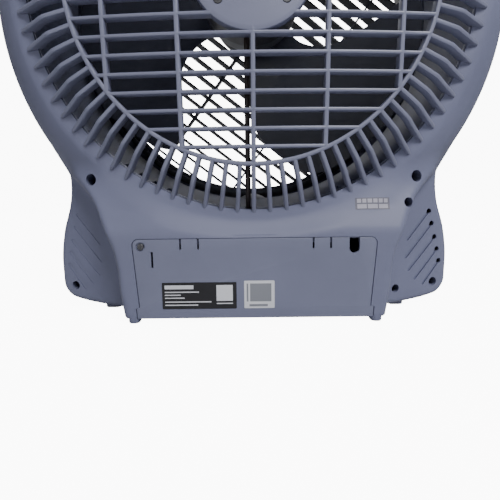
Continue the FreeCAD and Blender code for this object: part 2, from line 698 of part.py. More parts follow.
add_shape("speed_switch", case_with_spindle_hole(KNOB_PLACES["speed_knob"], 15.0, 18.0,
                                                 dim("spindle_radius") + 0.06))
timer_can = disc(21.0, PANEL_BACK + 0.2, PANEL_BACK + 26.0, KNOB_PLACES["timer_knob"], dim("knob_z"))
timer_bore = disc(dim("spindle_radius") + 0.06, PANEL_BACK - 1, dim("panel_y") + 11.0,
                  KNOB_PLACES["timer_knob"], dim("knob_z"))
timer_tabs = [block(dim("knob_x") + side * 26.0 - 5.0, dim("knob_x") + side * 26.0 + 5.0,
                    PANEL_BACK + 0.2, PANEL_BACK + 1.8, dim("knob_z") - 5, dim("knob_z") + 5)
              for side in (1, -1)]
timer_bridge = block(dim("knob_x") - 22, dim("knob_x") + 22, PANEL_BACK + 0.2, PANEL_BACK + 1.8,
                     dim("knob_z") - 5, dim("knob_z") + 5)
add_shape("timer_unit", fuse([timer_can, timer_bridge] + timer_tabs).cut(timer_bore))


def make_rocker_switch():
    """Switch body behind the rocker: an open-fronted case with two terminals."""
    z = dim("knob_z")
    low, high = PANEL_BACK + 0.2, PANEL_BACK + 16.0
    case = block(-9, 9, low, high, z - 13, z + 13)
    case = case.cut(block(-7.5, 7.5, low - 1, low + 6, z - 11.5, z + 11.5))
    blades = [block(-2.4, 2.4, high, high + 7, z + shift - 0.4, z + shift + 0.4) for shift in (-7, 7)]
    return fuse([case] + blades)


add_shape("rocker_switch", make_rocker_switch())

capacitor = add_primitive("Box", "capacitor_case", Vector(-80, 8, BASE_Z + WALL),
                          Length="38", Width="17", Height="27")
capacitor_rounded = doc.addObject("Part::Fillet", "run_capacitor")
capacitor_rounded.Base = capacitor
doc.recompute()
capacitor_rounded.Edges = [(number + 1, 1.5, 1.5) for number in range(len(capacitor.Shape.Edges))]
capacitor_rounded.Label = "run_capacitor"
subparts.append(capacitor_rounded)


def make_terminal_block():
    """Strip connector with a row of wire holes and clamp screws."""
    x_low, poles, pitch = -22.0, 5, 9.0
    body = block(x_low, x_low + poles * pitch, 12, 30, BASE_Z + WALL, BASE_Z + WALL + 15)
    holes = []
    for number in range(poles):
        x = x_low + pitch * (number + 0.5)
        holes.append(Part.makeCylinder(1.6, 20, Vector(x, 21, BASE_Z + WALL + 7), Vector(0, 0, 1)))
        holes.append(disc(1.9, 11, 31, x, BASE_Z + WALL + 5.0))
    return body.cut(fuse(holes))


add_shape("terminal_block", make_terminal_block())


# ---------------------------------------------------------------- cover, labels and their screw

def make_cover():
    """Tapered cover plate with two snap-tab slot pairs, a slit and the cable notch."""
    rear = dim("box_rear_y")
    front = rear - dim("cover_thickness")
    top = dim("cover_top")
    plate = cover_prism(0.0, front, rear)
    cuts = [block(x - 0.8, x + 0.8, front - 1, rear + 1, top - 8.7, top + 1) for x in TAB_SLOTS]
    cuts.append(block(82.7, 84.5, front - 1, rear + 1, 47.5, 60.8))
    x, half = dim("notch_x"), dim("notch_width") / 2
    low = dim("notch_bottom") + half
    cuts.append(block(x - half, x + half, front - 1, rear + 1, low, top + 1))
    cuts.append(disc(half, front - 1, rear + 1, x, low))
    cuts.append(disc(3.8, rear - 1.2, rear + 1, *COVER_SCREW))
    cuts.append(disc(1.7, front - 1, rear, *COVER_SCREW))
    return plate.cut(fuse(cuts))


add_shape("compartment_cover", make_cover())
doc.recompute()


def screw_along_y(head_radius, head_length, shank_radius, shank_length, x, y_seat, z):
    """A screw driven forward from behind: head behind y_seat, shank in front of it."""
    head = disc(head_radius, y_seat, y_seat + head_length, x, z)
    head = rounded(head, head_length * 0.4, lambda edge: edge.BoundBox.YMin > y_seat + head_length - 0.1)
    shank = disc(shank_radius, y_seat - shank_length, y_seat, x, z)
    arm = head_radius * 0.6
    slot = 0.45
    slot_y, above = y_seat + head_length * 0.5, y_seat + head_length + 1
    cross = block(x - arm, x + arm, slot_y, above, z - slot, z + slot)
    cross = cross.fuse(block(x - slot, x + slot, slot_y, above, z - arm, z + arm))
    return head.fuse(shank).cut(cross)


add_shape("cover_screw", screw_along_y(2.6, 1.4, 1.4, 12.0, COVER_SCREW[0],
                                       dim("box_rear_y") - 1.2, COVER_SCREW[1]))
housing_screws = [screw_along_y(3.2, 2.4, SCREW_SHANK, 16.0, x, WELL_FLOOR_Y, z) for x, z, r in WELLS]
add_shape("housing_screws", Part.makeCompound(housing_screws))

LABEL_THICKNESS = 0.3
for label_name, x_low, x_high, z_low, z_high in (("rating_label", 15.1, 76.4, 12.8, 35.1),
                                                 ("approval_label", -16.2, 8.8, 12.9, 36.1)):
    rear = dim("box_rear_y")
    sticker = add_primitive("Box", f"{label_name}_sheet", Vector(x_low, rear, z_low),
                            Length=str(x_high - x_low), Width=str(LABEL_THICKNESS),
                            Height=str(z_high - z_low))
    sticker.Label = label_name
    subparts.append(sticker)

date_sticker = add_primitive("Box", "date_sheet", Vector(-111.0, dim("box_rear_y"), CREST_Z),
                             Length="28", Width="0.4", Height="9.9")
date_sticker.Label = "date_sticker"
slope_angle = math.atan2(SLOPE_DROP, SLOPE_Z - CREST_Z)
up_slope = Vector(0, -math.sin(slope_angle), math.cos(slope_angle))
date_sticker.Placement = Placement(date_sticker.Placement.Base + up_slope * 17.2,
                                   Rotation(Vector(1, 0, 0), math.degrees(slope_angle)))
subparts.append(date_sticker)


# ---------------------------------------------------------------- motor

MOTOR_R = dim("motor_radius")
MOTOR_REAR = dim("motor_rear_y")
MOTOR_FRONT = dim("motor_front_y")
STATOR_LOW = (MOTOR_REAR + MOTOR_FRONT - dim("stator_length")) / 2 - 2.0
STATOR_HIGH = STATOR_LOW + dim("stator_length")
BELL_WALL = 2.2


def bell(y_open, y_closed, cooling):
    """A drawn end bell: a cup with a bearing seat in its floor and cooling windows."""
    low, high = min(y_open, y_closed), max(y_open, y_closed)
    inward = 1 if y_open > y_closed else -1
    cup = disc(MOTOR_R, low, high)
    cup = rounded(cup, 5.0, lambda edge: abs(edge.BoundBox.YMin - y_closed) < 0.1
                  and abs(edge.BoundBox.YMax - y_closed) < 0.1)
    inside = sorted((y_closed + inward * BELL_WALL, y_open + inward))
    cup = cup.cut(disc(MOTOR_R - BELL_WALL, *inside))
    seat = sorted((y_closed, y_closed + inward * (dim("bearing_length") + 1.0)))
    cup = cup.fuse(disc(dim("bearing_radius") + 2.5, *seat))
    pocket = sorted((y_closed + inward * 1.0, y_closed + inward * (dim("bearing_length") + 2.0)))
    cup = cup.cut(disc(dim("bearing_radius"), *pocket))
    windows = [turn(block(-4, 4, low - 1, high + 1, AXIS_Z - 31, AXIS_Z - 19), cooling * number)
               for number in range(int(360 / cooling))]
    return cup.cut(fuse(windows))


rear_bell = bell(STATOR_HIGH, MOTOR_REAR, 45.0)
screw_circle = dim("boss_screw_circle")
pilot_holes = [disc(1.5, MOTOR_REAR - 8, MOTOR_REAR + 1, *polar(screw_circle, 45 + 90 * n)) for n in range(4)]
screw_pads = [disc(3.4, MOTOR_REAR - 5, dome_y(screw_circle) - 3.0, *polar(screw_circle, 45 + 90 * n))
              for n in range(4)]
add_shape("motor_rear_bell", fuse([rear_bell] + screw_pads).cut(fuse(pilot_holes)))
front_bell = bell(STATOR_LOW, MOTOR_FRONT, 45.0)
add_shape("motor_front_bell", front_bell.cut(disc(dim("shaft_radius") + 0.6, -20, MOTOR_FRONT + 3)))
motor_screws = [screw_along_y(3.3, 1.6, 1.6, 8.5, x, dome_y(screw_circle) - 1.2, z)
                for x, z in (polar(screw_circle, 45 + 90 * n) for n in range(4))]
add_shape("motor_screws", Part.makeCompound(motor_screws))


def make_stator():
    """Laminated ring with inward teeth around the rotor."""
    bore = dim("rotor_radius") + dim("air_gap")
    ring = tube(MOTOR_R, MOTOR_R - 7.0, STATOR_LOW, STATOR_HIGH)
    teeth = [turn(block(-3, 3, STATOR_LOW, STATOR_HIGH, AXIS_Z - MOTOR_R + 6, AXIS_Z - bore + 2), 22.5 * n)
             for n in range(16)]
    return fuse([ring] + teeth).cut(disc(bore, STATOR_LOW - 1, STATOR_HIGH + 1))


add_shape("stator_core", make_stator())


def make_windings():
    """Copper coil heads: a rounded ring at each end of the stator."""
    rings = []
    for y in (STATOR_LOW - 4.6, STATOR_HIGH + 4.6):
        ring = Part.makeTorus(29.0, 4.5, on_axis(y), Vector(0, 1, 0))
        rings.append(ring)
    return Part.makeCompound(rings)


add_shape("stator_windings", make_windings())

bearing_bore = dim("shaft_radius") + dim("bearing_clearance")
front_bearing = tube(dim("bearing_radius") - 0.02, bearing_bore, MOTOR_FRONT + 1.0,
                     MOTOR_FRONT + 1.0 + dim("bearing_length"))
rear_bearing = tube(dim("bearing_radius") - 0.02, bearing_bore,
                    MOTOR_REAR - 1.0 - dim("bearing_length"), MOTOR_REAR - 1.0)
add_shape("motor_bearings", Part.makeCompound([front_bearing, rear_bearing]))

HUB_REAR = dim("hub_rear_y")
HUB_FRONT = HUB_REAR - dim("hub_length")
SHAFT_FRONT = HUB_FRONT - 8.0
SHAFT_REAR = MOTOR_REAR - 2.0
shaft = add_cylinder("shaft_bar", on_axis(SHAFT_FRONT), cell("shaft_radius"), str(SHAFT_REAR - SHAFT_FRONT))
shaft.Label = "motor_shaft"
subparts.append(shaft)
rotor_blank = add_cylinder("rotor_blank", on_axis(STATOR_LOW), cell("rotor_radius"), cell("stator_length"))
rotor_bore = add_cylinder("rotor_bore", on_axis(STATOR_LOW - 1), cell("shaft_radius"),
                          f"{cell('stator_length')} + 2")
add_cut("rotor_core", rotor_blank, rotor_bore)


# ---------------------------------------------------------------- fan blade and its nut

BLADE_MID_Y = -8.0
BLADE_EDGE_A = [(31.0, -6.0), (70.0, -2.0), (101.0, 2.0), (133.0, 13.4), (152.0, 20.5), (159.0, 27.0)]
BLADE_EDGE_B = [(159.0, 60.0), (151.0, 78.5), (138.5, 90.5), (118.0, 86.0), (90.0, 73.0), (31.0, 62.0)]
BLADE_CENTRE = 40.0


def blade_sheet_y(radius, degrees):
    """Depth of the twisted blade sheet: it climbs to the rear towards its leading edge."""
    climb = 20.0 + 20.0 * (radius - 30.0) / 130.0
    share = (degrees - BLADE_CENTRE) / 80.0
    return BLADE_MID_Y + climb * share - 3.0 * (1 - (2 * share) ** 2)


def blade_surface(shift):
    """A smooth surface through the sheet, moved along Y."""
    grid = []
    for radius in (28.0, 55.0, 85.0, 115.0, 145.0, 172.0):
        row = []
        for step in range(12):
            degrees = -14.0 + 10.0 * step
            x, z = polar(radius, degrees)
            row.append(Vector(x, blade_sheet_y(radius, degrees) + shift, z))
        grid.append(row)
    surface = Part.BSplineSurface()
    surface.interpolate(grid)
    return surface.toShape()


def make_blade():
    """Cup-shaped hub with three wide twisted blades, one moulding."""
    low = blade_surface(-dim("blade_thickness") / 2)
    slab = low.extrude(Vector(0, dim("blade_thickness"), 0))
    edge_a = [Vector(x, -60, z) for x, z in (polar(r, a) for r, a in BLADE_EDGE_A)]
    edge_b = [Vector(x, -60, z) for x, z in (polar(r, a) for r, a in BLADE_EDGE_B)]
    tip_x, tip_z = polar(dim("blade_radius"), 43.0)
    tip = Part.Arc(edge_a[-1], Vector(tip_x, -60, tip_z), edge_b[0]).toShape()
    curve_a, curve_b = Part.BSplineCurve(), Part.BSplineCurve()
    curve_a.interpolate(edge_a)
    curve_b.interpolate(edge_b)
    wire = Part.Wire([curve_a.toShape(), tip, curve_b.toShape(), line_edge(edge_b[-1], edge_a[0])])
    plan = Part.Face(wire).extrude(Vector(0, 120, 0))
    one = slab.common(plan)
    spread = 360.0 / dim("blade_count")
    blades = [turn(one, spread * number) for number in range(int(dim("blade_count")))]
    hub_radius = dim("hub_radius")
    hub = disc(hub_radius, HUB_FRONT, HUB_REAR)
    hub = rounded(hub, 6.0, lambda edge: edge.BoundBox.YMax < HUB_FRONT + 0.1)
    hub = hub.cut(disc(hub_radius - 2.4, HUB_FRONT + 2.6, HUB_REAR + 1))
    core = disc(9.0, HUB_FRONT, HUB_REAR - 2)
    webs = [turn(block(-0.9, 0.9, HUB_FRONT + 1, HUB_REAR - 4, AXIS_Z - hub_radius + 1, AXIS_Z - 8), 60.0 * n)
            for n in range(6)]
    whole = fuse([hub, core] + webs + blades)
    return whole.cut(disc(dim("shaft_radius"), HUB_FRONT - 1, HUB_REAR + 1))


add_shape("fan_blade", make_blade())

nut_front = HUB_FRONT - dim("nut_length")
nut_blank = add_turned("nut_blank", on_axis(nut_front), [(9.0, 3.0), (13.0, 3.0), ("nut_radius", 6.0)],
                       keep=False)
nut_thread = add_cylinder("nut_thread", on_axis(SHAFT_FRONT), cell("shaft_radius"), "20")
add_cut("blade_nut", nut_blank, nut_thread)


# ---------------------------------------------------------------- louvre

def make_louvre():
    """Round louvre: parallel tilted vanes and cross ribs in a rim with a running skirt."""
    radius, inner = dim("louvre_radius"), dim("louvre_inner")
    front, back = dim("louvre_front_y"), dim("louvre_back_y")
    skirt = dim("skirt_back_y")
    wall = dim("skirt_wall")
    rim = turned_about_axis([(inner, front + 1.5), (inner + 1.5, front), (radius, front),
                             (radius, -62.5), (radius + 4.5, -62.5), (radius + 4.5, -61.0),
                             (radius, -61.0), (radius, skirt), (radius - wall, skirt),
                             (radius - wall, back), (inner, back)])
    vanes = []
    count = int(inner / dim("vane_pitch"))
    for number in range(-count, count + 1):
        half = dim("vane_thickness") / 2
        vane = block(-radius, radius, front + 0.6, back - 0.4, -half, half)
        vane.rotate(Vector(0, (front + back) / 2, 0), Vector(1, 0, 0), dim("vane_tilt"))
        vane.translate(Vector(0, 0, number * dim("vane_pitch")))
        vanes.append(vane)
    for number in range(-1, 2):
        x = number * dim("cross_rib_pitch")
        vanes.append(block(x - 0.9, x + 0.9, front + 2, back - 1, -radius, radius))
    inside = tube(inner + 1, dim("louvre_hub_radius") - 1, front - 2, back + 2, 0, 0)
    lattice = Part.makeCompound([vane.common(inside) for vane in vanes])
    lattice.rotate(Vector(0, 0, 0), Vector(0, 1, 0), -dim("vane_angle"))
    lattice.translate(on_axis())
    hub = tube(dim("louvre_hub_radius"), dim("louvre_hub_radius") - 2.0, front, back)
    return fuse([rim, hub] + lattice.Solids)


add_shape("louvre_disc", make_louvre())
cap_radius = dim("louvre_hub_radius") - 2.05
louvre_cap = disc(cap_radius, -72.0, -62.0)
add_shape("louvre_cap", rounded(louvre_cap, 1.8, lambda edge: edge.BoundBox.YMax < -71.9))


def roller_place(label):
    """Centre of a roller at its front end."""
    x, z = polar(ROLLER_CIRCLE, ROLLER_ANGLES[label])
    return Vector(x, dim("roller_y"), z)


add_turned("drive_roller", roller_place("drive"), [("roller_radius", "roller_width")], "roller_bore")
for idler in ("idler_a", "idler_b"):
    add_turned(f"{idler}_roller", roller_place(idler),
               [("roller_radius", "roller_width"), (12.0, 1.5)], "roller_bore")
pins = []
for idler in ("idler_a", "idler_b"):
    place = roller_place(idler)
    flange_y = place.y + dim("roller_width") + 2.0
    pin = disc(dim("pin_radius"), BOSS_FRONT_Y + 1, flange_y + 0.2, place.x, place.z)
    head = disc(4.5, flange_y, flange_y + 1.4, place.x, place.z)
    pins.append(pin.fuse(head))
add_shape("idler_pins", Part.makeCompound(pins))


def make_louvre_motor():
    """Flat synchronous motor: round can with two ears; its shaft is off centre."""
    place = roller_place("drive")
    can_z = place.z - 12.0
    can = disc(21.5, -43.5, -31.5, place.x, can_z)
    can = rounded(can, 1.5, lambda edge: edge.BoundBox.YLength < 0.1)
    ears = block(-31, 31, -44.5, -43.0, EAR_Z - 5, EAR_Z + 5)
    snout = disc(4.5, -44.5, -43.0, place.x, place.z)
    holes = [disc(1.7, -46, -42.9, side * EAR_X, EAR_Z) for side in (1, -1)]
    bore = disc(2.48, -50, -35, place.x, place.z)
    return fuse([can, ears, snout]).cut(fuse(holes + [bore]))


add_shape("louvre_motor", make_louvre_motor())
drive_place = roller_place("drive")
louvre_screws = [screw_along_y(3.0, 1.8, 1.5, 11.0, side * EAR_X, -43.0, EAR_Z) for side in (1, -1)]
add_shape("louvre_motor_screws", Part.makeCompound(louvre_screws))
add_shape("louvre_motor_shaft", disc(dim("pin_radius"), -57.0, -36.0, drive_place.x, drive_place.z))


# ---------------------------------------------------------------- handle

def make_handle():
    """Carry handle: an arch over the head with rounded corners and splayed feet."""
    half, top = dim("handle_half"), dim("handle_top")
    depth = dim("handle_depth")
    rear = -7.0
    head = AXIS_Z + dim("head_radius")
    arch = block(-half, half, rear - depth, rear, head - 22, top)
    arch = rounded(arch, 26.0, lambda e: e.BoundBox.ZMin > top - 1 and abs(e.BoundBox.XLength) < 1)
    gap = block(-half + 22, half - 22, rear - depth - 1, rear + 1, head - 30, head + dim("finger_height"))
    gap = rounded(gap, 14.0, lambda e: e.BoundBox.ZMin > head + 20 and abs(e.BoundBox.XLength) < 1)
    arch = arch.cut(gap)
    arch = rounded(arch, 4.0, lambda e: e.BoundBox.YLength < 0.1 and e.BoundBox.ZMin > head - 18)
    return arch.cut(disc(dim("head_radius"), -60, 10))


add_shape("carry_handle", make_handle())
handle_screws = []
for side in (1, -1):
    x = side * (dim("handle_half") - 11.0)
    foot_z = AXIS_Z + math.sqrt(dim("head_radius") ** 2 - x ** 2)
    head = Part.makeCylinder(3.6, 2.4, Vector(x, -20, foot_z - 8.9), Vector(0, 0, 1))
    shank = Part.makeCylinder(1.9, 20.0, Vector(x, -20, foot_z - 6.5), Vector(0, 0, 1))
    handle_screws.append(head.fuse(shank))
add_shape("handle_screws", Part.makeCompound(handle_screws))


# ---------------------------------------------------------------- motor lead

def rounded_path(points, radii):
    """Straight runs joined by tangent arcs of the given radii at the inner points."""
    edges = []
    start = Vector(*points[0])
    for number, radius in enumerate(radii, start=1):
        corner = Vector(*points[number])
        before = (corner - Vector(*points[number - 1])).normalize()
        after = (Vector(*points[number + 1]) - corner).normalize()
        half_turn = before.getAngle(after) / 2
        reach = radius * math.tan(half_turn)
        enter, leave = corner - before * reach, corner + after * reach
        inward = (after - before).normalize()
        middle = corner + inward * (radius / math.cos(half_turn) - radius)
        edges.append(line_edge(start, enter))
        edges.append(Part.Arc(enter, middle, leave).toShape())
        start = leave
    edges.append(line_edge(start, Vector(*points[-1])))
    return Part.Wire(edges)


def make_lead():
    """Motor lead: from the rear bell down beside the middle post and through the duct's wall."""
    x = dim("lead_x")
    points = [(x, 54, AXIS_Z - MOTOR_R), (x, 54, 112), (x, 38, 93), (x, 21, 60), (x, 21, 22)]
    radii = [16.0, 20.0, 24.0]
    path = rounded_path(points, radii)
    radius = dim("lead_radius")
    start = Vector(*points[0])
    ring = Part.Wire([Part.makeCircle(radius, start, Vector(0, 0, -1))])
    lead = path.makePipeShell([ring], True, True)
    ratio = lead.Volume / (math.pi * radius ** 2 * path.Length)
    print("lead radii", radii, "length", round(path.Length, 1), "volume ratio", round(ratio, 4))
    return lead


add_shape("motor_lead", make_lead())


# ---------------------------------------------------------------- check and write

doc.recompute()
faults = [item.Name for item in doc.Objects if {"Invalid", "Error"} & set(item.State)]
for piece in subparts:
    if piece.Shape.isNull() or not piece.Shape.isValid() or not piece.Shape.Solids:
        faults.append(piece.Label)
if faults:
    raise RuntimeError(f"objects that failed: {faults}")

os.makedirs("parts", exist_ok=True)
for piece in subparts:
    piece.Shape.exportStep(os.path.join("parts", f"{piece.Label}.step"))
    print(piece.Label, "solids", len(piece.Shape.Solids), "volume", round(piece.Shape.Volume / 1000, 2))
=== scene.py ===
import json
import math

import bmesh
import bpy
import numpy as np
from mathutils import Matrix, Vector


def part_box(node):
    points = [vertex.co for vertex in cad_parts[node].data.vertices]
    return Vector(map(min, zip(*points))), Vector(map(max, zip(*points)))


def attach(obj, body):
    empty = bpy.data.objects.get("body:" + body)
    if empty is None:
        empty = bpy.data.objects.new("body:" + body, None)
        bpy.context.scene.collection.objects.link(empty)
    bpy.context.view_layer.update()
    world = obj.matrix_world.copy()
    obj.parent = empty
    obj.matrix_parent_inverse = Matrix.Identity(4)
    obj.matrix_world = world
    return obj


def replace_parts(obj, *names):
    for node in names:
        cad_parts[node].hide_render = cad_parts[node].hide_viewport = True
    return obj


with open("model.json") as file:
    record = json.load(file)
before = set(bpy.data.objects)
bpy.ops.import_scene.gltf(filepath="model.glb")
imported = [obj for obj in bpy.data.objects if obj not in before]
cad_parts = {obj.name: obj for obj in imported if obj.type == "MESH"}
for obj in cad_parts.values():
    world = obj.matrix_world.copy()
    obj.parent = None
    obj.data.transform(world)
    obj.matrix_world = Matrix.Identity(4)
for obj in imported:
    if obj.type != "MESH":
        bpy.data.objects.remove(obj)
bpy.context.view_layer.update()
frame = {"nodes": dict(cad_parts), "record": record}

MM = 0.001


def cad(node):
    """A CAD node's lowest and highest corners in millimetres."""
    low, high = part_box(node)
    return np.array(low) / MM, np.array(high) / MM


# ------------------------------------------------------------------ driving sizes, from the frame

grille_low, grille_high = cad("rear_grille")
shell_low, shell_high = cad("rear_shell")
AXIS_Z = (grille_low[2] + grille_high[2]) / 2
HEAD_R = shell_high[0]
SEAM_Y = shell_low[1]
BOX_REAR_Y = cad("compartment_cover")[1][1]
FRONT_Y = cad("front_shell")[0][1]
WALL = 2.5
LIP_Y = 46.5
# edge lengths of the cells that outer and hidden skins are meshed with
FINE_STEP, COARSE_STEP = 2.0, 4.0


# ------------------------------------------------------------------ camera, stage and light

CAMERA_PLACE = (0.0046, 0.3593, 0.10625)
CAMERA_PITCH, CAMERA_YAW, CAMERA_ROLL = 0.132, -0.003, 0.012
FLOOR_GLOW = 10.0


def place_camera():
    """The main view: behind the fan, low and close, looking slightly down."""
    camera = bpy.data.cameras.new("camera")
    camera.lens = 26.935
    camera.sensor_width = 36.0
    camera.shift_x = 0.0047
    camera.shift_y = -0.0118
    camera.clip_start = 0.01
    holder = bpy.data.objects.new("camera", camera)
    pitch, yaw, roll = CAMERA_PITCH, CAMERA_YAW, CAMERA_ROLL
    right = Vector((-math.cos(yaw), math.sin(yaw), 0))
    ahead = Vector((-math.sin(yaw), -math.cos(yaw), 0))
    up = math.cos(pitch) * Vector((0, 0, 1)) + math.sin(pitch) * ahead
    forward = math.cos(pitch) * ahead - math.sin(pitch) * Vector((0, 0, 1))
    side = math.cos(roll) * right - math.sin(roll) * up
    top = math.sin(roll) * right + math.cos(roll) * up
    rotation = Matrix((side, top, -forward)).transposed()
    holder.matrix_world = Matrix.Translation(CAMERA_PLACE) @ rotation.to_4x4()
    bpy.context.scene.collection.objects.link(holder)
    bpy.context.scene.camera = holder


def stage_material():
    """A pale studio floor that glows to the camera only, so that it comes out almost white."""
    material = bpy.data.materials.new("stage_white")
    material.use_nodes = True
    tree = material.node_tree
    shader = tree.nodes["Principled BSDF"]
    shader.inputs["Base Color"].default_value = (0.55, 0.55, 0.56, 1)
    shader.inputs["Roughness"].default_value = 0.9
    shader.inputs["Emission Color"].default_value = (1.0, 1.0, 1.0, 1)
    path = tree.nodes.new("ShaderNodeLightPath")
    glow = tree.nodes.new("ShaderNodeMath")
    glow.operation = "MULTIPLY"
    glow.inputs[1].default_value = FLOOR_GLOW
    tree.links.new(path.outputs["Is Camera Ray"], glow.inputs[0])
    tree.links.new(glow.outputs[0], shader.inputs["Emission Strength"])
    return material


def build_stage():
    """A round floor whose far edge rises all round, seamless from every side."""
    rings = [(0.0, 0.0), (1.6, 0.0), (2.2, 0.04), (2.7, 0.25), (3.0, 0.7), (3.1, 1.4), (3.1, 3.2)]
    around = 64
    mesh = bpy.data.meshes.new("studio_floor")
    turns = [2 * math.pi * k / around for k in range(around)]
    verts = [(r * math.cos(turn), r * math.sin(turn), z) for r, z in rings for turn in turns]
    faces = [(i * around + k, i * around + (k + 1) % around, (i + 1) * around + (k + 1) % around,
              (i + 1) * around + k) for i in range(len(rings) - 1) for k in range(around)]
    mesh.from_pydata(verts, [], faces)
    floor = bpy.data.objects.new("studio_floor", mesh)
    bpy.context.scene.collection.objects.link(floor)
    mesh.shade_smooth()
    mesh.materials.append(stage_material())


def area_light(name, place, target, size, power):
    """One soft box aimed at a point of the fan."""
    light = bpy.data.lights.new(name, "AREA")
    light.shape = "DISK"
    light.size = size
    light.energy = power
    holder = bpy.data.objects.new(name, light)
    direction = Vector(target) - Vector(place)
    holder.rotation_euler = direction.to_track_quat("-Z", "Y").to_euler()
    holder.location = place
    bpy.context.scene.collection.objects.link(holder)


def light_stage():
    """Key from the upper right of the rear view, weak fill from its left, a front light, soft surround."""
    world = bpy.data.worlds.new("studio")
    world.use_nodes = True
    world.node_tree.nodes["Background"].inputs["Color"].default_value = (0.95, 0.97, 1.0, 1)
    world.node_tree.nodes["Background"].inputs["Strength"].default_value = 0.14
    bpy.context.scene.world = world
    area_light("key", (-0.7, 1.2, 1.5), (0, 0, 0.15), 0.8, 41)
    area_light("fill", (0.9, 1.5, 0.25), (0.06, 0, 0.04), 0.8, 4)
    area_light("front", (0.4, -1.6, 1.2), (0, 0, 0.25), 1.2, 9)


# ------------------------------------------------------------------ materials

GRAIN_SCALE, CLOUD_SCALE = 900.0, 14.0


def plastic(name, color, roughness=0.5, grain=0.12, mottle=0.06, coat=0.0):
    """Moulded plastic: fine etched grain, faint cloudy colour and gloss variation."""
    material = bpy.data.materials.new(name)
    material.use_nodes = True
    tree = material.node_tree
    shader = tree.nodes["Principled BSDF"]
    shader.inputs["IOR"].default_value = 1.47
    shader.inputs["Coat Weight"].default_value = coat
    coords = tree.nodes.new("ShaderNodeTexCoord")
    fine = tree.nodes.new("ShaderNodeTexNoise")
    fine.inputs["Scale"].default_value = GRAIN_SCALE
    fine.inputs["Detail"].default_value = 3.0
    cloud = tree.nodes.new("ShaderNodeTexNoise")
    cloud.inputs["Scale"].default_value = CLOUD_SCALE
    cloud.inputs["Detail"].default_value = 4.0
    for node in (fine, cloud):
        tree.links.new(coords.outputs["Object"], node.inputs["Vector"])
    ramp = tree.nodes.new("ShaderNodeValToRGB")
    dark = [c * (1 - mottle) for c in color] + [1]
    light = [min(1.0, c * (1 + mottle)) for c in color] + [1]
    ramp.color_ramp.elements[0].position = 0.3
    ramp.color_ramp.elements[1].position = 0.7
    ramp.color_ramp.elements[0].color = dark
    ramp.color_ramp.elements[1].color = light
    tree.links.new(cloud.outputs["Fac"], ramp.inputs["Fac"])
    tree.links.new(ramp.outputs["Color"], shader.inputs["Base Color"])
    gloss = tree.nodes.new("ShaderNodeMapRange")
    gloss.inputs["To Min"].default_value = roughness - 0.06
    gloss.inputs["To Max"].default_value = roughness + 0.08
    tree.links.new(fine.outputs["Fac"], gloss.inputs["Value"])
    tree.links.new(gloss.outputs["Result"], shader.inputs["Roughness"])
    bump = tree.nodes.new("ShaderNodeBump")
    bump.inputs["Strength"].default_value = grain
    bump.inputs["Distance"].default_value = 0.0003
    tree.links.new(fine.outputs["Fac"], bump.inputs["Height"])
    tree.links.new(bump.outputs["Normal"], shader.inputs["Normal"])
    return material


def metal(name, color, roughness=0.35, scale=(300.0, 300.0, 300.0), grain=0.1):
    """Bare or plated metal with fine scratches and cloudy gloss."""
    material = plastic(name, color, roughness, grain, 0.08)
    tree = material.node_tree
    tree.nodes["Principled BSDF"].inputs["Metallic"].default_value = 1.0
    stretch = tree.nodes.new("ShaderNodeMapping")
    stretch.inputs["Scale"].default_value = [along / GRAIN_SCALE for along in scale]
    noises = [n for n in tree.nodes if n.type == "TEX_NOISE"]
    fine = next(n for n in noises if n.inputs["Scale"].default_value > CLOUD_SCALE)
    coords = next(n for n in tree.nodes if n.type == "TEX_COORD")
    tree.links.new(coords.outputs["Object"], stretch.inputs["Vector"])
    tree.links.new(stretch.outputs["Vector"], fine.inputs["Vector"])
    return material


BODY_BLUE = (0.146, 0.157, 0.243)
MATERIALS = {
    "housing": plastic("housing_plastic", BODY_BLUE, 0.52, 0.10),
    "grille": plastic("grille_plastic", (0.172, 0.182, 0.264), 0.42, 0.08),
    "cover": plastic("cover_plastic", (0.150, 0.161, 0.240), 0.50, 0.12),
    "blade": plastic("blade_plastic", (0.026, 0.029, 0.046), 0.34, 0.05, coat=0.2),
    "louvre": plastic("louvre_plastic", (0.050, 0.054, 0.072), 0.45, 0.08),
    "control": plastic("control_plastic", (0.060, 0.065, 0.090), 0.45, 0.12),
    "knob": plastic("knob_plastic", (0.045, 0.048, 0.065), 0.38, 0.08),
    "handle": plastic("handle_plastic", (0.150, 0.165, 0.230), 0.50, 0.12),
    "screw_steel": metal("screw_steel", (0.13, 0.13, 0.14), 0.38),
    "motor_steel": metal("motor_steel", (0.40, 0.41, 0.43), 0.40),
    "core_steel": metal("core_steel", (0.30, 0.30, 0.31), 0.45, (60, 4000, 60), 0.3),
    "copper": metal("copper_wire", (0.72, 0.33, 0.16), 0.35, (1500, 1500, 1500), 0.5),
    "bronze": metal("sintered_bronze", (0.55, 0.38, 0.20), 0.5),
    "rubber": plastic("black_rubber", (0.018, 0.018, 0.019), 0.65, 0.25),
    "lead": plastic("lead_sheath", (0.030, 0.022, 0.020), 0.45, 0.10),
    "black_label": plastic("label_black", (0.012, 0.012, 0.015), 0.30, 0.02),
    "white_label": plastic("label_white", (0.60, 0.61, 0.66), 0.35, 0.02),
    "date_label": plastic("label_date", (0.11, 0.11, 0.15), 0.50, 0.05),
    "date_cell": plastic("label_cell", (0.33, 0.32, 0.39), 0.50, 0.05),
    "label_grey": plastic("label_grey", (0.20, 0.21, 0.24), 0.40, 0.03),
    "switch": plastic("switch_case", (0.030, 0.030, 0.033), 0.40, 0.08),
    "terminal": plastic("terminal_nylon", (0.62, 0.62, 0.57), 0.45, 0.08),
}


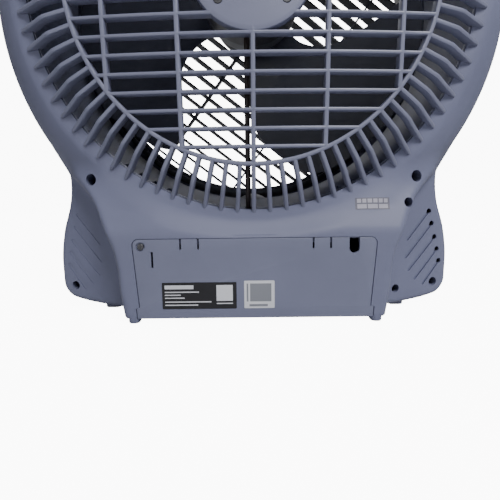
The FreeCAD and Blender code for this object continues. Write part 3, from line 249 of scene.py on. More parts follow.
def dress_cad_nodes():
    """Every carried-over CAD node takes the finish of its slot in the record."""
    slots = {row["node"]: row["material_slot"] for row in frame["record"]["subparts"]}
    for node, piece in frame["nodes"].items():
        piece.data.materials.clear()
        piece.data.materials.append(MATERIALS[slots[node]])


# ------------------------------------------------------------------ mesh helpers

SHARP_ANGLE = math.radians(32)


def new_piece(name, verts, faces, material, body="housing"):
    """A mesh object from millimetre vertices, smooth but for its sharp edges, riding on a body."""
    mesh = bpy.data.meshes.new(name)
    mesh.from_pydata((np.asarray(verts) * MM).tolist(), [], faces)
    mesh.validate()
    return finish_piece(name, mesh, material, body)


def finish_piece(name, mesh, material, body="housing"):
    """Link a mesh as a piece: smooth shading, one material, a body to ride on."""
    piece = bpy.data.objects.new(name, mesh)
    bpy.context.scene.collection.objects.link(piece)
    mesh.materials.clear()
    mesh.materials.append(MATERIALS[material])
    mesh.shade_smooth()
    mesh.set_sharp_from_angle(angle=SHARP_ANGLE)
    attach(piece, body)
    return piece


def merged(parts):
    """Several (verts, faces) as one."""
    verts, faces, start = [], [], 0
    for part_verts, part_faces in parts:
        verts.extend(np.asarray(part_verts).tolist())
        faces.extend([tuple(i + start for i in face) for face in part_faces])
        start += len(part_verts)
    return verts, faces


def lofted(sections, closed=False):
    """Skin over sections with equally many points; a run that isn't closed gets two end caps."""
    count = len(sections[0])
    verts = [point for section in sections for point in section]
    rows = len(sections)
    faces = []
    for row in range(rows if closed else rows - 1):
        near, far = row * count, (row + 1) % rows * count
        faces += [(near + k, near + (k + 1) % count, far + (k + 1) % count, far + k)
                  for k in range(count)]
    if not closed:
        faces.append(tuple(reversed(range(count))))
        faces.append(tuple(range((rows - 1) * count, rows * count)))
    return verts, faces


def polar(radius, degrees, y):
    """A point at an angle from straight down, turning towards -X."""
    angle = math.radians(degrees)
    return (-radius * math.sin(angle), y, AXIS_Z - radius * math.cos(angle))


def lathe(profile, around=180):
    """A closed (radius, y) profile turned about the fan axis."""
    sections = [[polar(r, 360 * k / around, y) for r, y in profile] for k in range(around)]
    return lofted(sections, closed=True)


def stack(rings, around=180):
    """A solid about the fan axis through (radius, y) rings, capped at both ends."""
    return lofted([[polar(radius, 360 * k / around, y) for k in range(around)] for radius, y in rings])


def rod(x, z, radius, y_low, y_high, around=40):
    """A round bar along Y."""
    ring = [(radius * math.cos(2 * math.pi * k / around), radius * math.sin(2 * math.pi * k / around))
            for k in range(around)]
    return lofted([[(x + a, y, z + b) for a, b in ring] for y in (y_low, y_high)])


def prism(outline, y_low, y_high):
    """A flat (x, z) outline drawn out along Y."""
    return lofted([[(x, y, z) for x, z in outline] for y in (y_low, y_high)])


def block(x_low, x_high, y_low, y_high, z_low, z_high):
    """A box between two corners."""
    return prism([(x_low, z_low), (x_high, z_low), (x_high, z_high), (x_low, z_high)], y_low, y_high)


def softened(corners, radii, steps=6):
    """A closed outline with each corner rounded to its own radius."""
    outline = []
    for number, radius in enumerate(radii):
        corner = np.array(corners[number], float)
        before = np.array(corners[number - 1]) - corner
        after = np.array(corners[(number + 1) % len(corners)]) - corner
        before, after = before / np.hypot(*before), after / np.hypot(*after)
        half_angle = math.acos(np.clip(before @ after, -1, 1)) / 2
        middle = (before + after) / np.hypot(*(before + after))
        centre = corner + middle * radius / math.sin(half_angle)
        start = corner + before * radius / math.tan(half_angle) - centre
        end = corner + after * radius / math.tan(half_angle) - centre
        sweep = math.pi - 2 * half_angle
        for step in range(steps + 1):
            t = step / steps
            arm = (start * math.sin((1 - t) * sweep) + end * math.sin(t * sweep)) / math.sin(sweep)
            outline.append(tuple(centre + arm))
    return outline


def as_mesh(name, verts, faces):
    """A bare mesh in metres, its normals turned outwards."""
    mesh = bpy.data.meshes.new(name)
    mesh.from_pydata((np.asarray(verts) * MM).tolist(), [], faces)
    work = bmesh.new()
    work.from_mesh(mesh)
    bmesh.ops.recalc_face_normals(work, faces=work.faces)
    work.to_mesh(mesh)
    work.free()
    return mesh


def combine(mesh, steps):
    """Boolean steps on a mesh: each is an operation and the (verts, faces) or mesh of its tool."""
    base = bpy.data.objects.new("work", mesh)
    bpy.context.scene.collection.objects.link(base)
    tools = []
    for operation, shape in steps:
        tool_mesh = shape if isinstance(shape, bpy.types.Mesh) else as_mesh("tool", *shape)
        tool = bpy.data.objects.new("tool", tool_mesh)
        bpy.context.scene.collection.objects.link(tool)
        tools.append(tool)
        modifier = base.modifiers.new(operation, "BOOLEAN")
        modifier.operation = operation
        modifier.solver = "MANIFOLD"
        modifier.object = tool
    bpy.context.view_layer.update()
    result = bpy.data.meshes.new_from_object(base.evaluated_get(bpy.context.evaluated_depsgraph_get()))
    for helper in tools + [base]:
        bpy.data.objects.remove(helper)
    return result


# ------------------------------------------------------------------ smooth solids from distance fields

def round_and(a, b, radius):
    """Where both fields are inside, with the edge between them rounded."""
    corner = np.hypot(np.maximum(a + radius, 0), np.maximum(b + radius, 0))
    return np.minimum(np.maximum(a, b), -radius) + corner


def round_or(a, b, radius):
    """Where either field is inside, with the inner corner between them filleted."""
    return -round_and(-a, -b, radius)


def soft_max(a, b, reach):
    """The larger field, eased over a short reach where the two cross at a shallow angle."""
    ease = np.maximum(reach - np.abs(a - b), 0) / reach
    return np.maximum(a, b) + ease * ease * reach / 4


def curve_through(points):
    """A smooth function through (t, value) points, flat beyond its ends."""
    knots, values = np.array(points, float).T
    slopes = np.gradient(values, knots)

    def value_at(t):
        t = np.clip(t, knots[0], knots[-1])
        k = np.clip(np.searchsorted(knots, t) - 1, 0, len(knots) - 2)
        span = knots[k + 1] - knots[k]
        u = (t - knots[k]) / span
        return ((2 * u ** 3 - 3 * u ** 2 + 1) * values[k] + (u ** 3 - 2 * u ** 2 + u) * span * slopes[k]
                + (3 * u ** 2 - 2 * u ** 3) * values[k + 1] + (u ** 3 - u ** 2) * span * slopes[k + 1])

    return value_at


def skin_of(field, low, high, step):
    """The zero surface of a field as (verts, faces): one vertex a cell, then pulled onto the field."""
    axes = [np.arange(low[i], high[i] + step, step) for i in range(3)]
    x, y, z = np.meshgrid(*axes, indexing="ij")
    value = field(x, y, z).astype(np.float32)
    cells = tuple(n - 1 for n in value.shape)
    total = np.zeros(cells + (3,), np.float32)
    crossings = np.zeros(cells, np.float32)
    corners = [(i, j, k) for i in (0, 1) for j in (0, 1) for k in (0, 1)]

    def corner(c):
        return value[tuple(slice(c[n], c[n] + cells[n]) for n in range(3))]

    for axis in range(3):
        for start in (c for c in corners if c[axis] == 0):
            end = tuple(c + (n == axis) for n, c in enumerate(start))
            a, b = corner(start), corner(end)
            cut = (a < 0) != (b < 0)
            share = np.where(cut, a / np.where(cut, a - b, 1), 0)
            for n in range(3):
                total[..., n] += np.where(cut, start[n] + (share if n == axis else 0), 0)
            crossings += cut
    active = crossings > 0
    number = np.full(cells, -1)
    number[active] = np.arange(active.sum())
    place = np.argwhere(active) + total[active] / crossings[active][:, None]
    verts = np.array(low) + place * step
    quads = []
    for axis in range(3):
        u, v = (axis + 1) % 3, (axis + 2) % 3
        first = np.take(value, np.arange(value.shape[axis] - 1), axis) < 0
        second = np.take(value, np.arange(1, value.shape[axis]), axis) < 0
        for inside, order in ((first & ~second, 1), (~first & second, -1)):
            at = np.argwhere(inside)
            at = at[(at[:, u] > 0) & (at[:, v] > 0) & (at[:, u] < cells[u]) & (at[:, v] < cells[v])]
            ring = []
            for du, dv in ((1, 1), (0, 1), (0, 0), (1, 0)):
                cell = at.copy()
                cell[:, u] -= du
                cell[:, v] -= dv
                ring.append(number[cell[:, 0], cell[:, 1], cell[:, 2]])
            quads.append(np.stack(ring[::order], 1))
    verts = pulled_onto(field, verts, step)
    return verts, np.concatenate(quads).tolist()


def pulled_onto(field, verts, step):
    """Vertices moved along the field's gradient until they lie on its zero surface."""
    reach = 0.05
    for _ in range(3):
        x, y, z = verts.T
        here = field(x, y, z)
        slope = np.stack([(field(x + reach, y, z) - field(x - reach, y, z)),
                          (field(x, y + reach, z) - field(x, y - reach, z)),
                          (field(x, y, z + reach) - field(x, y, z - reach))], 1) / (2 * reach)
        move = here[:, None] * slope / np.maximum((slope ** 2).sum(1), 0.05)[:, None]
        verts = verts - np.clip(move, -step / 2, step / 2)
    return verts


# ------------------------------------------------------------------ housing

BASE_BOTTOM = 4.0
HEAD_SHOULDER_R, HEAD_SHOULDER_Y = 57.9, -6.0
# foot: half width by height, bottom edge's rise and rear face's depth by distance from the middle
BASE_SIDE = curve_through([(4, 185.8), (27, 186), (51, 185.7), (75, 181), (98, 172.8), (110, 170.5),
                           (126, 170)])
BASE_RISE = curve_through([(135, 0), (150, 1.2), (168, 4.0), (186, 8.0)])
WAIST_Z, WAIST_HALF, FLARE_SLOPE, FLARE_END_Z, FLARE_TOP_Z = 126.5, 170.0, 0.52, 176.0, 250.0
WING_DEPTH = curve_through([(90, 41), (112, 30.5), (141, 18), (165, 11), (196, 0)])
# compartment: half width by height
SPINE_HALF = curve_through([(4, 109.5), (25, 112.5), (50, 114.5), (62, 117), (77, 122.8), (90, 128.5),
                            (102, 134.5), (114, 144), (124, 153)])
CREST_Z = 77.0
SLOPE_NORMAL = (0.931, 0.366)
SHED_PLACE, SHED_NORMAL = (48.0, 105.0), (0.707, 0.707)
DISH_R, DISH_FLARE = 187.0, 0.58
DUCT_REAR_R, DUCT_FRONT_R, DUCT_FRONT_Y = 176.0, 168.0, -30.0
# cosines that make a gap measured along an axis a distance square to a sloping face
FLARE_COS, BASE_COS, WING_COS, SPINE_COS, DISH_COS = 0.887, 0.99, 0.86, 0.97, 0.865
BASE_CORNER_R, WING_EDGE_R, SPINE_EDGE_R, SPINE_BOTTOM_R = 13.0, 5.0, 6.0, 2.0
LIP_EDGE_R, DISH_EDGE_R, DISH_SPINE_R = 2.5, 5.0, 9.0
CREST_EASE, SHED_EASE = 1.6, 3.0
HEAD_FILLET, FOOT_FILLET = 18.0, 7.0
SKIN_PAST_SEAM, SKIN_MARGIN = 6.0, 3.0


def outline_field(x, z):
    """Signed distance to the foot's outline: wide base, waist, and flare up into the head."""
    flare = WAIST_HALF + (z - WAIST_Z) * FLARE_SLOPE
    flare = np.where(z > FLARE_END_Z, WAIST_HALF + (2 * FLARE_END_Z - z - WAIST_Z) * FLARE_SLOPE, flare)
    half = np.where(z > WAIST_Z, flare, BASE_SIDE(z))
    square = np.where(z > WAIST_Z, FLARE_COS, BASE_COS)
    floor = BASE_BOTTOM + BASE_RISE(np.abs(x)) - z
    return np.maximum(round_and((np.abs(x) - half) * square, floor, BASE_CORNER_R), z - FLARE_TOP_Z)


def rear_field(x, y, z):
    """The whole rear housing as one filled, blended solid."""
    radius = np.hypot(x, z - AXIS_Z)
    head = round_and(radius - HEAD_R, y - HEAD_SHOULDER_Y - HEAD_SHOULDER_R, HEAD_SHOULDER_R)
    head = round_and(head, y - LIP_Y, LIP_EDGE_R)
    wing = (y - WING_DEPTH(np.abs(x))) * WING_COS
    foot = round_and(outline_field(x, z), wing, WING_EDGE_R)
    side = (np.abs(x) - SPINE_HALF(z)) * SPINE_COS
    slope = SLOPE_NORMAL[0] * (y - BOX_REAR_Y) + SLOPE_NORMAL[1] * (z - CREST_Z)
    back = soft_max(y - BOX_REAR_Y, slope, CREST_EASE)
    shed = SHED_NORMAL[0] * (y - SHED_PLACE[0]) + SHED_NORMAL[1] * (z - SHED_PLACE[1])
    back = soft_max(back, shed, SHED_EASE)
    spine = round_and(round_and(side, back, SPINE_EDGE_R), BASE_BOTTOM - z, SPINE_BOTTOM_R)
    cone = (radius - DISH_R - (y - LIP_Y) * DISH_FLARE) * DISH_COS
    dish = round_and(cone, LIP_Y - y, DISH_EDGE_R)
    spine = round_and(spine, -dish, DISH_SPINE_R)
    return round_or(round_or(spine, head, HEAD_FILLET), foot, FOOT_FILLET)


def rear_skin(inset, step):
    """The rear housing's surface, moved inwards by an inset, as a closed mesh."""
    def field(x, y, z):
        return np.maximum(rear_field(x, y, z) + inset, SEAM_Y - SKIN_PAST_SEAM - y)
    low = (-HEAD_R - SKIN_MARGIN, SEAM_Y - SKIN_PAST_SEAM - 2 * step, 1.0)
    high = (HEAD_R + SKIN_MARGIN, BOX_REAR_Y + SKIN_MARGIN, shell_high[2] + SKIN_MARGIN)
    return as_mesh("skin", *skin_of(field, low, high, step))


# (x, z, radius) of the screw wells; the last two are in the unseen upper half
WELLS = [(136.5, 120.0, 4.9), (-136.5, 120.0, 4.9), (-127.3, 98.3, 4.0),
         (170.5, 22.0, 4.1), (-170.5, 22.0, 4.1), (-130.0, 18.7, 3.9),
         (144.0, 414.0, 4.9), (-144.0, 414.0, 4.9)]
WELL_FLOOR_Y, WELL_WALL = -27.0, 2.0
GROOVES = [((162.5, 89.2), (141.2, 63.8)), ((166.0, 77.6), (140.3, 47.2)),
           ((170.0, 64.8), (143.8, 35.1)), ((173.3, 53.3), (150.7, 26.5)),
           ((176.0, 41.7), (159.5, 21.0))]
GROOVE_END_R, GROOVE_FRONT_Y, GROOVE_REAR_Y = 2.4, -30, 40
# (side, half width, depth): faint broad grooves at +x, crisp deeper ones at -x
GROOVE_CUTS = [(1, 1.9, 0.4), (-1, 1.25, 1.9)]
# (x, y, width, depth) of the feet at +x
REAR_FOOT = (101.5, 53.0, 9.5, 12.0)
WING_FOOT = (135.5, 5.0, 14.5, 14.0)
FRONT_FOOT = (140.0, -52.0, 18.0, 14.0)
LEAD_X, LEAD_HOLE_Z, LEAD_HOLE_R = 4.6, 94.0, 3.2
SHANK_R, SCREW_BOSS_R, PILOT_R = 2.2, 4.5, 1.95
COVER_BOSS_R, COVER_PILOT_R = 4.0, 1.45
POCKET_DEGREES, POCKET_R, POCKET_SINK = (24.1, 28.5, 32.9, 37.3, -24.1, -28.5, -32.9, -37.3), 3.2, 1.2
POCKET_FRONT_Y, POCKET_REAR_Y = 27.0, 38.0
BEYOND = 400.0


def groove_slots(side, half):
    """Straight slots with round ends, drawn through the wing on one side."""
    slots = []
    for (x_top, z_top), (x_low, z_low) in GROOVES:
        lean = math.atan2(z_top - z_low, x_top - x_low)
        ring = [(x_top, z_top, lean + math.pi / 2 - math.pi * k / 8) for k in range(9)]
        ring += [(x_low, z_low, lean - math.pi / 2 - math.pi * k / 8) for k in range(9)]
        outline = [(side * (x + half * math.cos(turn)), z + half * math.sin(turn)) for x, z, turn in ring]
        slots.append(prism(outline, GROOVE_FRONT_Y, GROOVE_REAR_Y))
    return merged(slots)


def foot(x, y, width, depth, corner):
    """One moulded foot, rounded below and at its upright corners."""
    def section(grow, z):
        a, b = width / 2 + grow, depth / 2 + grow
        corners = [(x - a, y - b), (x + a, y - b), (x + a, y + b), (x - a, y + b)]
        return [(px, py, z) for px, py in softened(corners, [corner + grow] * 4)]
    return lofted([section(-1.6, 0), section(-0.5, 0.4), section(0, 1.6), section(0, BASE_BOTTOM + 2.0)])


def both_sides(shape_at, x, *sizes):
    """A shape made at +x and at -x."""
    return merged([shape_at(x, *sizes), shape_at(-x, *sizes)])


def duct_tools():
    """The duct's bore, its wall, and the small pockets in the wall beside the lowest point."""
    bore = stack([(DUCT_FRONT_R, DUCT_FRONT_Y - 20), (DUCT_FRONT_R, DUCT_FRONT_Y), (DUCT_REAR_R, LIP_Y),
                  (DUCT_REAR_R, LIP_Y + 30)])
    wall = lathe([(DUCT_REAR_R, LIP_Y), (DUCT_REAR_R + WALL, LIP_Y), (DUCT_FRONT_R + WALL, DUCT_FRONT_Y),
                  (DUCT_FRONT_R, DUCT_FRONT_Y)])
    pockets = []
    for degrees in POCKET_DEGREES:
        x, _, z = polar(DUCT_REAR_R - POCKET_SINK, degrees, 0)
        pockets.append(rod(x, z, POCKET_R, POCKET_FRONT_Y, POCKET_REAR_Y, 20))
    return bore, wall, merged(pockets)


def make_rear_shell():
    """Rear half of the housing: blended skin with duct, cover opening, screw wells and grooves."""
    bore, wall, pockets = duct_tools()
    tubes = merged([rod(x, z, r + WELL_WALL, WELL_FLOOR_Y - 3.0, BOX_REAR_Y) for x, z, r in WELLS])
    tubes = combine(as_mesh("tubes", *tubes), [("INTERSECT", rear_skin(0.8, COARSE_STEP))])
    slots = [combine(as_mesh("slots", *groove_slots(side, half)),
                     [("DIFFERENCE", rear_skin(depth, COARSE_STEP))]) for side, half, depth in GROOVE_CUTS]
    ends = merged([rod(-x, z, GROOVE_END_R, GROOVE_FRONT_Y, GROOVE_REAR_Y, 24) for (x, z), _ in GROOVES])
    ledge_y = BOX_REAR_Y - WALL
    ledge = as_mesh("ledge", *prism(cover_outline(3.0, 5.2), ledge_y - 2.0, ledge_y + 0.4))
    ledge = combine(ledge, [("DIFFERENCE", prism(cover_outline(-4.0, 8.4), ledge_y - 4, ledge_y + 2))])
    wells = merged([rod(x, z, r, WELL_FLOOR_Y, 75) for x, z, r in WELLS])
    shanks = merged([rod(x, z, SHANK_R, WELL_FLOOR_Y - 5, WELL_FLOOR_Y + 1, 24) for x, z, r in WELLS])
    steps = [
        ("DIFFERENCE", rear_skin(WALL, COARSE_STEP)),
        ("DIFFERENCE", bore), ("UNION", wall), ("DIFFERENCE", pockets),
        ("UNION", tubes), ("UNION", ledge), ("UNION", rod(*COVER_SCREW, COVER_BOSS_R, 44.0, ledge_y)),
        ("UNION", both_sides(foot, *REAR_FOOT, 4.2)), ("UNION", both_sides(foot, *WING_FOOT, 4.0)),
        ("DIFFERENCE", wells), ("DIFFERENCE", shanks),
        ("DIFFERENCE", slots[0]), ("DIFFERENCE", slots[1]), ("DIFFERENCE", ends),
        ("DIFFERENCE", prism(cover_outline(COVER_GAP), ledge_y, BOX_REAR_Y + 8)),
        ("DIFFERENCE", rod(*COVER_SCREW, COVER_PILOT_R, 43.0, ledge_y + 1, 24)),
        ("DIFFERENCE", block(NOTCH_X - NOTCH_HALF, NOTCH_X + NOTCH_HALF, ledge_y - 3.0, BOX_REAR_Y,
                             NOTCH_BOTTOM - 1.0, COVER_TOP - 0.8)),
        ("DIFFERENCE", rod(LEAD_X, LEAD_HOLE_Z, LEAD_HOLE_R, 29.0, 43.0, 24)),
        ("DIFFERENCE", block(-BEYOND, BEYOND, -90, SEAM_Y + 0.1, -10, 600)),
    ]
    shell = combine(rear_skin(0.0, FINE_STEP), steps)
    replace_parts(finish_piece("rear_housing", shell, "housing"), "rear_shell")


PANEL_HALF, PANEL_LOW, PANEL_HIGH, PANEL_Y = 98.0, 20.0, 82.0, -54.0
OPENING_R, FRONT_ROUND = 165.2, 12.0
ROLLER_CIRCLE, ROLLER_BOSS_R, PIN_R = 172.35, 4.2, 2.45
EAR_X, EAR_Z, EAR_BOSS_R, EAR_PILOT_R = 27.0, 91.65, 4.0, 1.55
RECESS_CORNER_R = 4.0


def front_skin(inset, step):
    """The front housing's surface with its rounded front edge, moved inwards by an inset."""
    def field(x, y, z):
        outline = round_or(outline_field(x, z), np.hypot(x, z - AXIS_Z) - HEAD_R, FOOT_FILLET)
        return np.maximum(round_and(outline, FRONT_Y - y, FRONT_ROUND) + inset, y - SEAM_Y - SKIN_PAST_SEAM)
    low = (-HEAD_R - SKIN_MARGIN, FRONT_Y - SKIN_MARGIN, 1.0)
    high = (HEAD_R + SKIN_MARGIN, SEAM_Y + SKIN_PAST_SEAM + 2 * step, shell_high[2] + SKIN_MARGIN)
    return as_mesh("skin", *skin_of(field, low, high, step))


def make_front_shell():
    """Front half of the housing: round louvre opening above, recess for the controls below."""
    face = FRONT_Y + WALL
    opening = stack([(OPENING_R + 3.0, FRONT_Y - 3.0), (OPENING_R + 1.2, FRONT_Y - 0.2),
                     (OPENING_R + 0.25, FRONT_Y + 0.5), (OPENING_R, FRONT_Y + 1.3), (OPENING_R, face + 2)])
    recess = prism(softened(panel_corners(0), [RECESS_CORNER_R] * 4), FRONT_Y - 3, SEAM_Y + 8)
    frame_wall = prism(softened(panel_corners(WALL), [RECESS_CORNER_R + WALL] * 4), face - 1, PANEL_Y)
    bosses = [rod(x, z, SCREW_BOSS_R, face - 0.8, WELL_FLOOR_Y - 3.1) for x, z, r in WELLS]
    pilots = [rod(x, z, PILOT_R, face + 6, WELL_FLOOR_Y, 24) for x, z, r in WELLS]
    for degrees in (120.0, 240.0):
        x, _, z = polar(ROLLER_CIRCLE, degrees, 0)
        bosses.append(rod(x, z, ROLLER_BOSS_R, face - 0.8, -54.3))
        pilots.append(rod(x, z, PIN_R + 0.05, face + 0.9, -53.0, 24))
    for x in (EAR_X, -EAR_X):
        bosses.append(rod(x, EAR_Z, EAR_BOSS_R, face - 0.8, -44.5))
        pilots.append(rod(x, EAR_Z, EAR_PILOT_R, face + 1.9, -44.0, 24))
    steps = [
        ("DIFFERENCE", front_skin(WALL, COARSE_STEP)), ("UNION", frame_wall),
        ("UNION", merged(bosses)), ("DIFFERENCE", merged(pilots)),
        ("UNION", both_sides(foot, *FRONT_FOOT, 4.0)),
        ("DIFFERENCE", opening), ("DIFFERENCE", recess),
        ("DIFFERENCE", block(-BEYOND, BEYOND, SEAM_Y - 0.1, 60, 0, 600)),
    ]
    bosses_behind = merged([rod(x, z, SCREW_BOSS_R, SEAM_Y - 0.6, WELL_FLOOR_Y - 3.1) for x, z, r in WELLS])
    shell = combine(front_skin(0.0, FINE_STEP), steps)
    shell = combine(shell, [("UNION", bosses_behind), ("DIFFERENCE", merged(pilots))])
    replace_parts(finish_piece("front_housing", shell, "housing"), "front_shell")


def panel_corners(grow):
    """Corners of the control recess, grown all round."""
    half, low, high = PANEL_HALF + grow, PANEL_LOW - grow, PANEL_HIGH + grow
    return [(-half, low), (half, low), (half, high), (-half, high)]


# ------------------------------------------------------------------ rear grille

RING_R, RING_HALF, RING_Y, RING_DEPTH, DOME_RISE = 140.0, 1.7, 64.0, 8.0, 8.0
BAR_COUNT, BAR_PITCH, BAR_WIDTH, BAR_DEPTH = 20, 13.37, 2.8, 8.0
POST_PITCH, POST_WIDTH = 55.5, 3.6
EDGE_SOFT, GRILLE_TURNS = 1.2, 246
BOSS_R, BOSS_SCREW_R, BOSS_HOLE_R, BOSS_SINK_R = 46.0, 35.0, 2.0, 3.6
RIB_COUNT, RIB_HALF = 82, 1.7
# (radius, rear edge, front edge, half thickness) along one fin
RIB_STATIONS = [(138.6, 63.9, 56.0, RIB_HALF), (150.0, 62.7, 54.8, RIB_HALF), (157.6, 61.8, 53.8, RIB_HALF),
                (160.4, 61.2, 52.6, RIB_HALF), (162.8, 60.0, 51.2, RIB_HALF), (166.0, 58.1, 49.2, RIB_HALF),
                (170.0, 55.8, 46.8, RIB_HALF), (174.6, 53.2, 44.2, RIB_HALF), (175.3, 52.8, 46.5, RIB_HALF),
                (181.0, 49.5, 46.5, 1.65), (183.2, 48.2, 46.5, 1.35), (184.1, 47.3, 46.5, 0.95)]


def dome_y(radius):
    """Outer depth of the domed face: a shallow part of a sphere."""
    sphere = (RING_R ** 2 + DOME_RISE ** 2) / (2 * DOME_RISE)
    return RING_Y + DOME_RISE - sphere + math.sqrt(sphere ** 2 - radius ** 2)


def rounded_section(half, soft):
    """Corners (across, depth) of a strip's section, its outer edge rounded, thinner inside."""
    side = [(half, -soft), (half - 0.3 * soft, -0.3 * soft), (half - soft, 0.0)]
    return side + [(-across, depth) for across, depth in reversed(side)]


def domed_strip(level, width, along_x):
    """Bars or posts at one level across the dome, left open where the boss stands."""
    half = width / 2
    reach = math.sqrt((RING_R - 0.6) ** 2 - level ** 2)
    gap = math.sqrt(max((BOSS_R - 1.2) ** 2 - level ** 2, 0))
    spans = [(-reach, -gap), (gap, reach)] if gap > 0 else [(-reach, reach)]
    strips = []
    for start, end in spans:
        sections = []
        for t in np.linspace(start, end, 25):
            y = dome_y(math.hypot(t, level))
            corners = rounded_section(half, EDGE_SOFT) + [(-0.8 * half, -BAR_DEPTH), (0.8 * half, -BAR_DEPTH)]
            sections.append([(t, y + b, AXIS_Z + level + a) if along_x else
                             (level + a, y + b, AXIS_Z + t) for a, b in corners])
        strips.append(lofted(sections))
    return merged(strips)


def fin_ring():
    """All the radial fins from the ring down to the housing."""
    sections = []
    for radius, rear, front, half in RIB_STATIONS:
        soft = min(EDGE_SOFT, 0.8 * half, 0.8 * (rear - front))
        corners = [(a, rear + b) for a, b in rounded_section(half, soft)]
        corners += [(-half, front), (half, front)]
        sections.append([(a, y, -radius) for a, y in corners])
    verts, faces = lofted(sections)
    verts = np.array(verts)
    fins = []
    for number in range(RIB_COUNT):
        angle = 2 * math.pi * number / RIB_COUNT
        turned = np.stack([verts[:, 0] * math.cos(angle) + verts[:, 2] * math.sin(angle), verts[:, 1],
                           AXIS_Z - verts[:, 0] * math.sin(angle) + verts[:, 2] * math.cos(angle)], 1)
        fins.append((turned, faces))
    return merged(fins)


def make_rear_grille():
    """Domed grille: rounded bars and posts in a ring, fins out to the duct's lip, a motor boss."""
    levels = [(n - (BAR_COUNT - 1) / 2) * BAR_PITCH for n in range(BAR_COUNT)]
    bars = merged([domed_strip(level, BAR_WIDTH, True) for level in levels])
    posts = merged([domed_strip(n * POST_PITCH, POST_WIDTH, False) for n in range(-2, 3)])
    outer, inner, soft = RING_R + RING_HALF, RING_R - RING_HALF, EDGE_SOFT
    ring = lathe([(outer, RING_Y - RING_DEPTH), (outer, RING_Y - soft),
                  (outer - 0.3 * soft, RING_Y - 0.3 * soft), (outer - soft, RING_Y), (inner + soft, RING_Y),
                  (inner + 0.3 * soft, RING_Y - 0.3 * soft), (inner, RING_Y - soft),
                  (inner, RING_Y - RING_DEPTH)], GRILLE_TURNS)
    seat = DUCT_REAR_R - 0.6
    seat_ring = lathe([(seat - 0.6, LIP_Y - 3.0), (seat - 0.3, LIP_Y - 3.0), (seat, LIP_Y - 1.0),
                       (seat - 0.6, LIP_Y - 1.0)], GRILLE_TURNS)
    skin = [(r, dome_y(r)) for r in (0.3, 12, 24, 34, 42, 45.2)]
    boss = stack(skin + [(BOSS_R - 0.2, dome_y(BOSS_R) - 0.3), (BOSS_R, dome_y(BOSS_R) - 1.0),
                         (BOSS_R, dome_y(BOSS_R) - 8.0), (BOSS_R - 3, dome_y(BOSS_R) - 8.0)]
                 + [(r, dome_y(r) - 3.0) for r in (43, 34, 24, 12, 0.3)], 96)
    places = [polar(BOSS_SCREW_R, 45 + 90 * n, 0) for n in range(4)]
    holes = merged([rod(x, z, BOSS_HOLE_R, 50, 80, 24) for x, _, z in places])
    sinks = merged([rod(x, z, BOSS_SINK_R, dome_y(BOSS_SCREW_R) - 1.2, 80, 32) for x, _, z in places])
    lead_gap = block(LEAD_X - 2.6, LEAD_X + 2.6, LIP_Y - 7, LIP_Y, 80, 110)
    steps = [("UNION", bars), ("UNION", posts), ("UNION", fin_ring()), ("UNION", seat_ring),
             ("UNION", boss), ("DIFFERENCE", holes), ("DIFFERENCE", sinks), ("DIFFERENCE", lead_gap)]
    grille = combine(as_mesh("ring", *ring), steps)
    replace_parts(finish_piece("intake_grille", grille, "grille"), "rear_grille")


# ------------------------------------------------------------------ compartment cover and labels

COVER_TOP, COVER_THICK, COVER_GAP = 71.0, 2.4, 0.5
COVER_SIDE = [(99.4, 66.0), (95.6, 14.0), (98.4, 13.4), (97.8, 4.4)]
COVER_SCREW, COVER_SINK_R, COVER_HOLE_R = (92.6, 65.0), 3.8, 1.7
TAB_SLOTS = [60.3, 45.8, -47.9, -62.1]
NOTCH_X, NOTCH_HALF, NOTCH_BOTTOM = -81.2, 4.2, 58.2


def cover_outline(grow, bottom=None):
    """The tapered outline of the cover, grown all round; the bottom can be set by itself."""
    (x1, _), (x2, z2), (x3, z3), (x4, z4) = COVER_SIDE
    low = z4 - grow if bottom is None else bottom
    right = [(x1 + 0.36 + grow, COVER_TOP + grow), (x2 + grow, z2), (x3 + grow, z3), (x4 + grow, low)]
    left = [(-x, z) for x, z in reversed(right)]
    radii = [5.0 + grow, 0.3, 0.3, 0.4]
    return softened(right + left, radii + radii[::-1])


def soft_prism(outline_at, y_low, y_high, edge):
    """A plate from an outline that can shrink, its rear edge rounded."""
    sections = [(0.0, y_low), (0.0, y_high - edge)]
    for turn in (30, 60, 90):
        angle = math.radians(turn)
        sections.append((-edge * (1 - math.cos(angle)), y_high - edge * (1 - math.sin(angle))))
    return lofted([[(x, y, z) for x, z in outline_at(grow)] for grow, y in sections])


def make_cover():
    """The compartment's cover with soft edges, tab slots, slit, cable notch and screw seat."""
    front = BOX_REAR_Y - COVER_THICK
    plate = as_mesh("plate", *soft_prism(cover_outline, front, BOX_REAR_Y, 0.6))
    slots = [block(x - 0.8, x + 0.8, front - 1, BOX_REAR_Y + 1, COVER_TOP - 8.7, COVER_TOP + 1)
             for x in TAB_SLOTS]
    slots.append(block(82.7, 84.5, front - 1, BOX_REAR_Y + 1, 47.5, 60.8))
    turns = [math.pi * k / 16 for k in range(17)]
    centre = NOTCH_BOTTOM + NOTCH_HALF
    notch = [(NOTCH_X + NOTCH_HALF * math.cos(a), centre - NOTCH_HALF * math.sin(a)) for a in turns]
    notch += [(NOTCH_X - NOTCH_HALF, COVER_TOP + 1), (NOTCH_X + NOTCH_HALF, COVER_TOP + 1)]
    steps = [("DIFFERENCE", merged(slots)), ("DIFFERENCE", prism(notch, front - 1, BOX_REAR_Y + 1)),
             ("DIFFERENCE", rod(*COVER_SCREW, COVER_SINK_R, BOX_REAR_Y - 1.2, BOX_REAR_Y + 1)),
             ("DIFFERENCE", rod(*COVER_SCREW, COVER_HOLE_R, front - 1, BOX_REAR_Y, 24))]
    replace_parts(finish_piece("rear_cover", combine(plate, steps), "cover"), "compartment_cover")


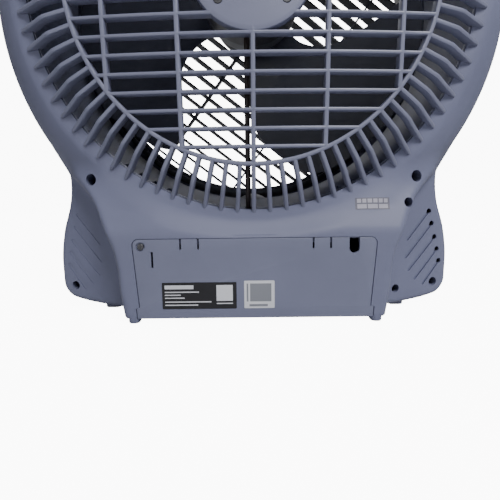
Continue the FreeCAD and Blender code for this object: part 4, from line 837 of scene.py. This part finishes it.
def sheet(x_low, x_high, z_low, z_high, y_low, thickness, corner):
    """A thin rectangular sheet with rounded corners."""
    corners = [(x_low, z_low), (x_high, z_low), (x_high, z_high), (x_low, z_high)]
    return prism(softened(corners, [corner] * 4, 4), y_low, y_low + thickness)


LABEL_THICK, INK_THICK = 0.3, 0.04


def make_labels():
    """Two plain labels: sheets with generic bars and blocks in place of any print."""
    y = BOX_REAR_Y
    ink_y = y + LABEL_THICK
    rating = new_piece("rating_sheet", *sheet(15.1, 76.4, 12.8, 35.1, y, LABEL_THICK, 0.8), "black_label")
    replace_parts(rating, "rating_label")
    approval = new_piece("approval_sheet", *sheet(-16.2, 8.8, 12.9, 36.1, y, LABEL_THICK, 0.8),
                         "white_label")
    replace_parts(approval, "approval_label")
    lines = [(74.2, 50.5, 29.6, 32.8)]
    lines += [(74.2, end, z, z + 0.9) for end, z in
              ((46.0, 26.6), (61.0, 24.1), (58.0, 21.6), (36.0, 18.3), (47.0, 15.6))]
    lines += [(31.6, 18.2, 19.4, 32.8), (31.6, 18.2, 16.8, 17.7)]
    marks = [sheet(low, high, z_low, z_high, ink_y, INK_THICK, 0.25) for high, low, z_low, z_high in lines]
    new_piece("rating_marks", *merged(marks), "white_label")
    blocks = [(-13.6, 4.0, 18.6, 33.8), (5.4, 6.8, 18.6, 33.8), (-10.6, 4.6, 14.4, 16.4)]
    marks = [sheet(low, high, z_low, z_high, ink_y, INK_THICK, 0.25) for low, high, z_low, z_high in blocks]
    new_piece("approval_marks", *merged(marks), "label_grey")


def make_date_sticker():
    """A thin sticker laid on the sloping shoulder, with two rows of plain cells."""
    def laid(x_low, x_high, s_low, s_high, lift, thickness, columns, rows):
        up = np.array([0.0, -SLOPE_NORMAL[1], SLOPE_NORMAL[0]])
        across, along = np.linspace(x_low, x_high, columns), np.linspace(s_low, s_high, rows)
        grid = np.array([(x, BOX_REAR_Y + s * up[1], CREST_Z + s * up[2]) for s in along for x in across])
        layers = [pulled_onto(lambda x, y, z: rear_field(x, y, z) - level, grid, 3.0)
                  for level in (lift, lift + thickness)]
        count = rows * columns
        faces = []
        for row in range(rows - 1):
            for column in range(columns - 1):
                a = row * columns + column
                faces.append((a, a + columns, a + columns + 1, a + 1))
                faces.append(tuple(i + count for i in (a, a + 1, a + columns + 1, a + columns)))
        rim = list(range(columns)) + [(r + 1) * columns - 1 for r in range(1, rows)]
        rim += [count - 1 - c for c in range(1, columns)] + [r * columns for r in range(rows - 2, 0, -1)]
        faces += [(a, b, b + count, a + count) for a, b in zip(rim, rim[1:] + rim[:1])]
        return np.concatenate(layers), faces

    sticker = new_piece("date_sheet", *laid(-111.0, -83.0, 17.2, 27.1, 0.0, 0.2, 29, 11), "date_label")
    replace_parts(sticker, "date_sticker")
    cells = []
    for low, high, cuts in ((18.0, 21.6, (-109.9, -101.6, -92.6, -84.1)),
                            (22.9, 26.2, (-109.9, -105.8, -101.6, -97.2, -92.6, -88.4, -84.1))):
        for start, end in zip(cuts, cuts[1:]):
            cells.append(laid(start + 0.5, end - 0.5, low, high, 0.2, 0.04, 6, 4))
    new_piece("date_cells", *merged(cells), "date_cell")


# ------------------------------------------------------------------ making it

place_camera()
build_stage()
light_stage()
dress_cad_nodes()
make_rear_shell()
make_front_shell()
make_rear_grille()
make_cover()
make_labels()
make_date_sticker()
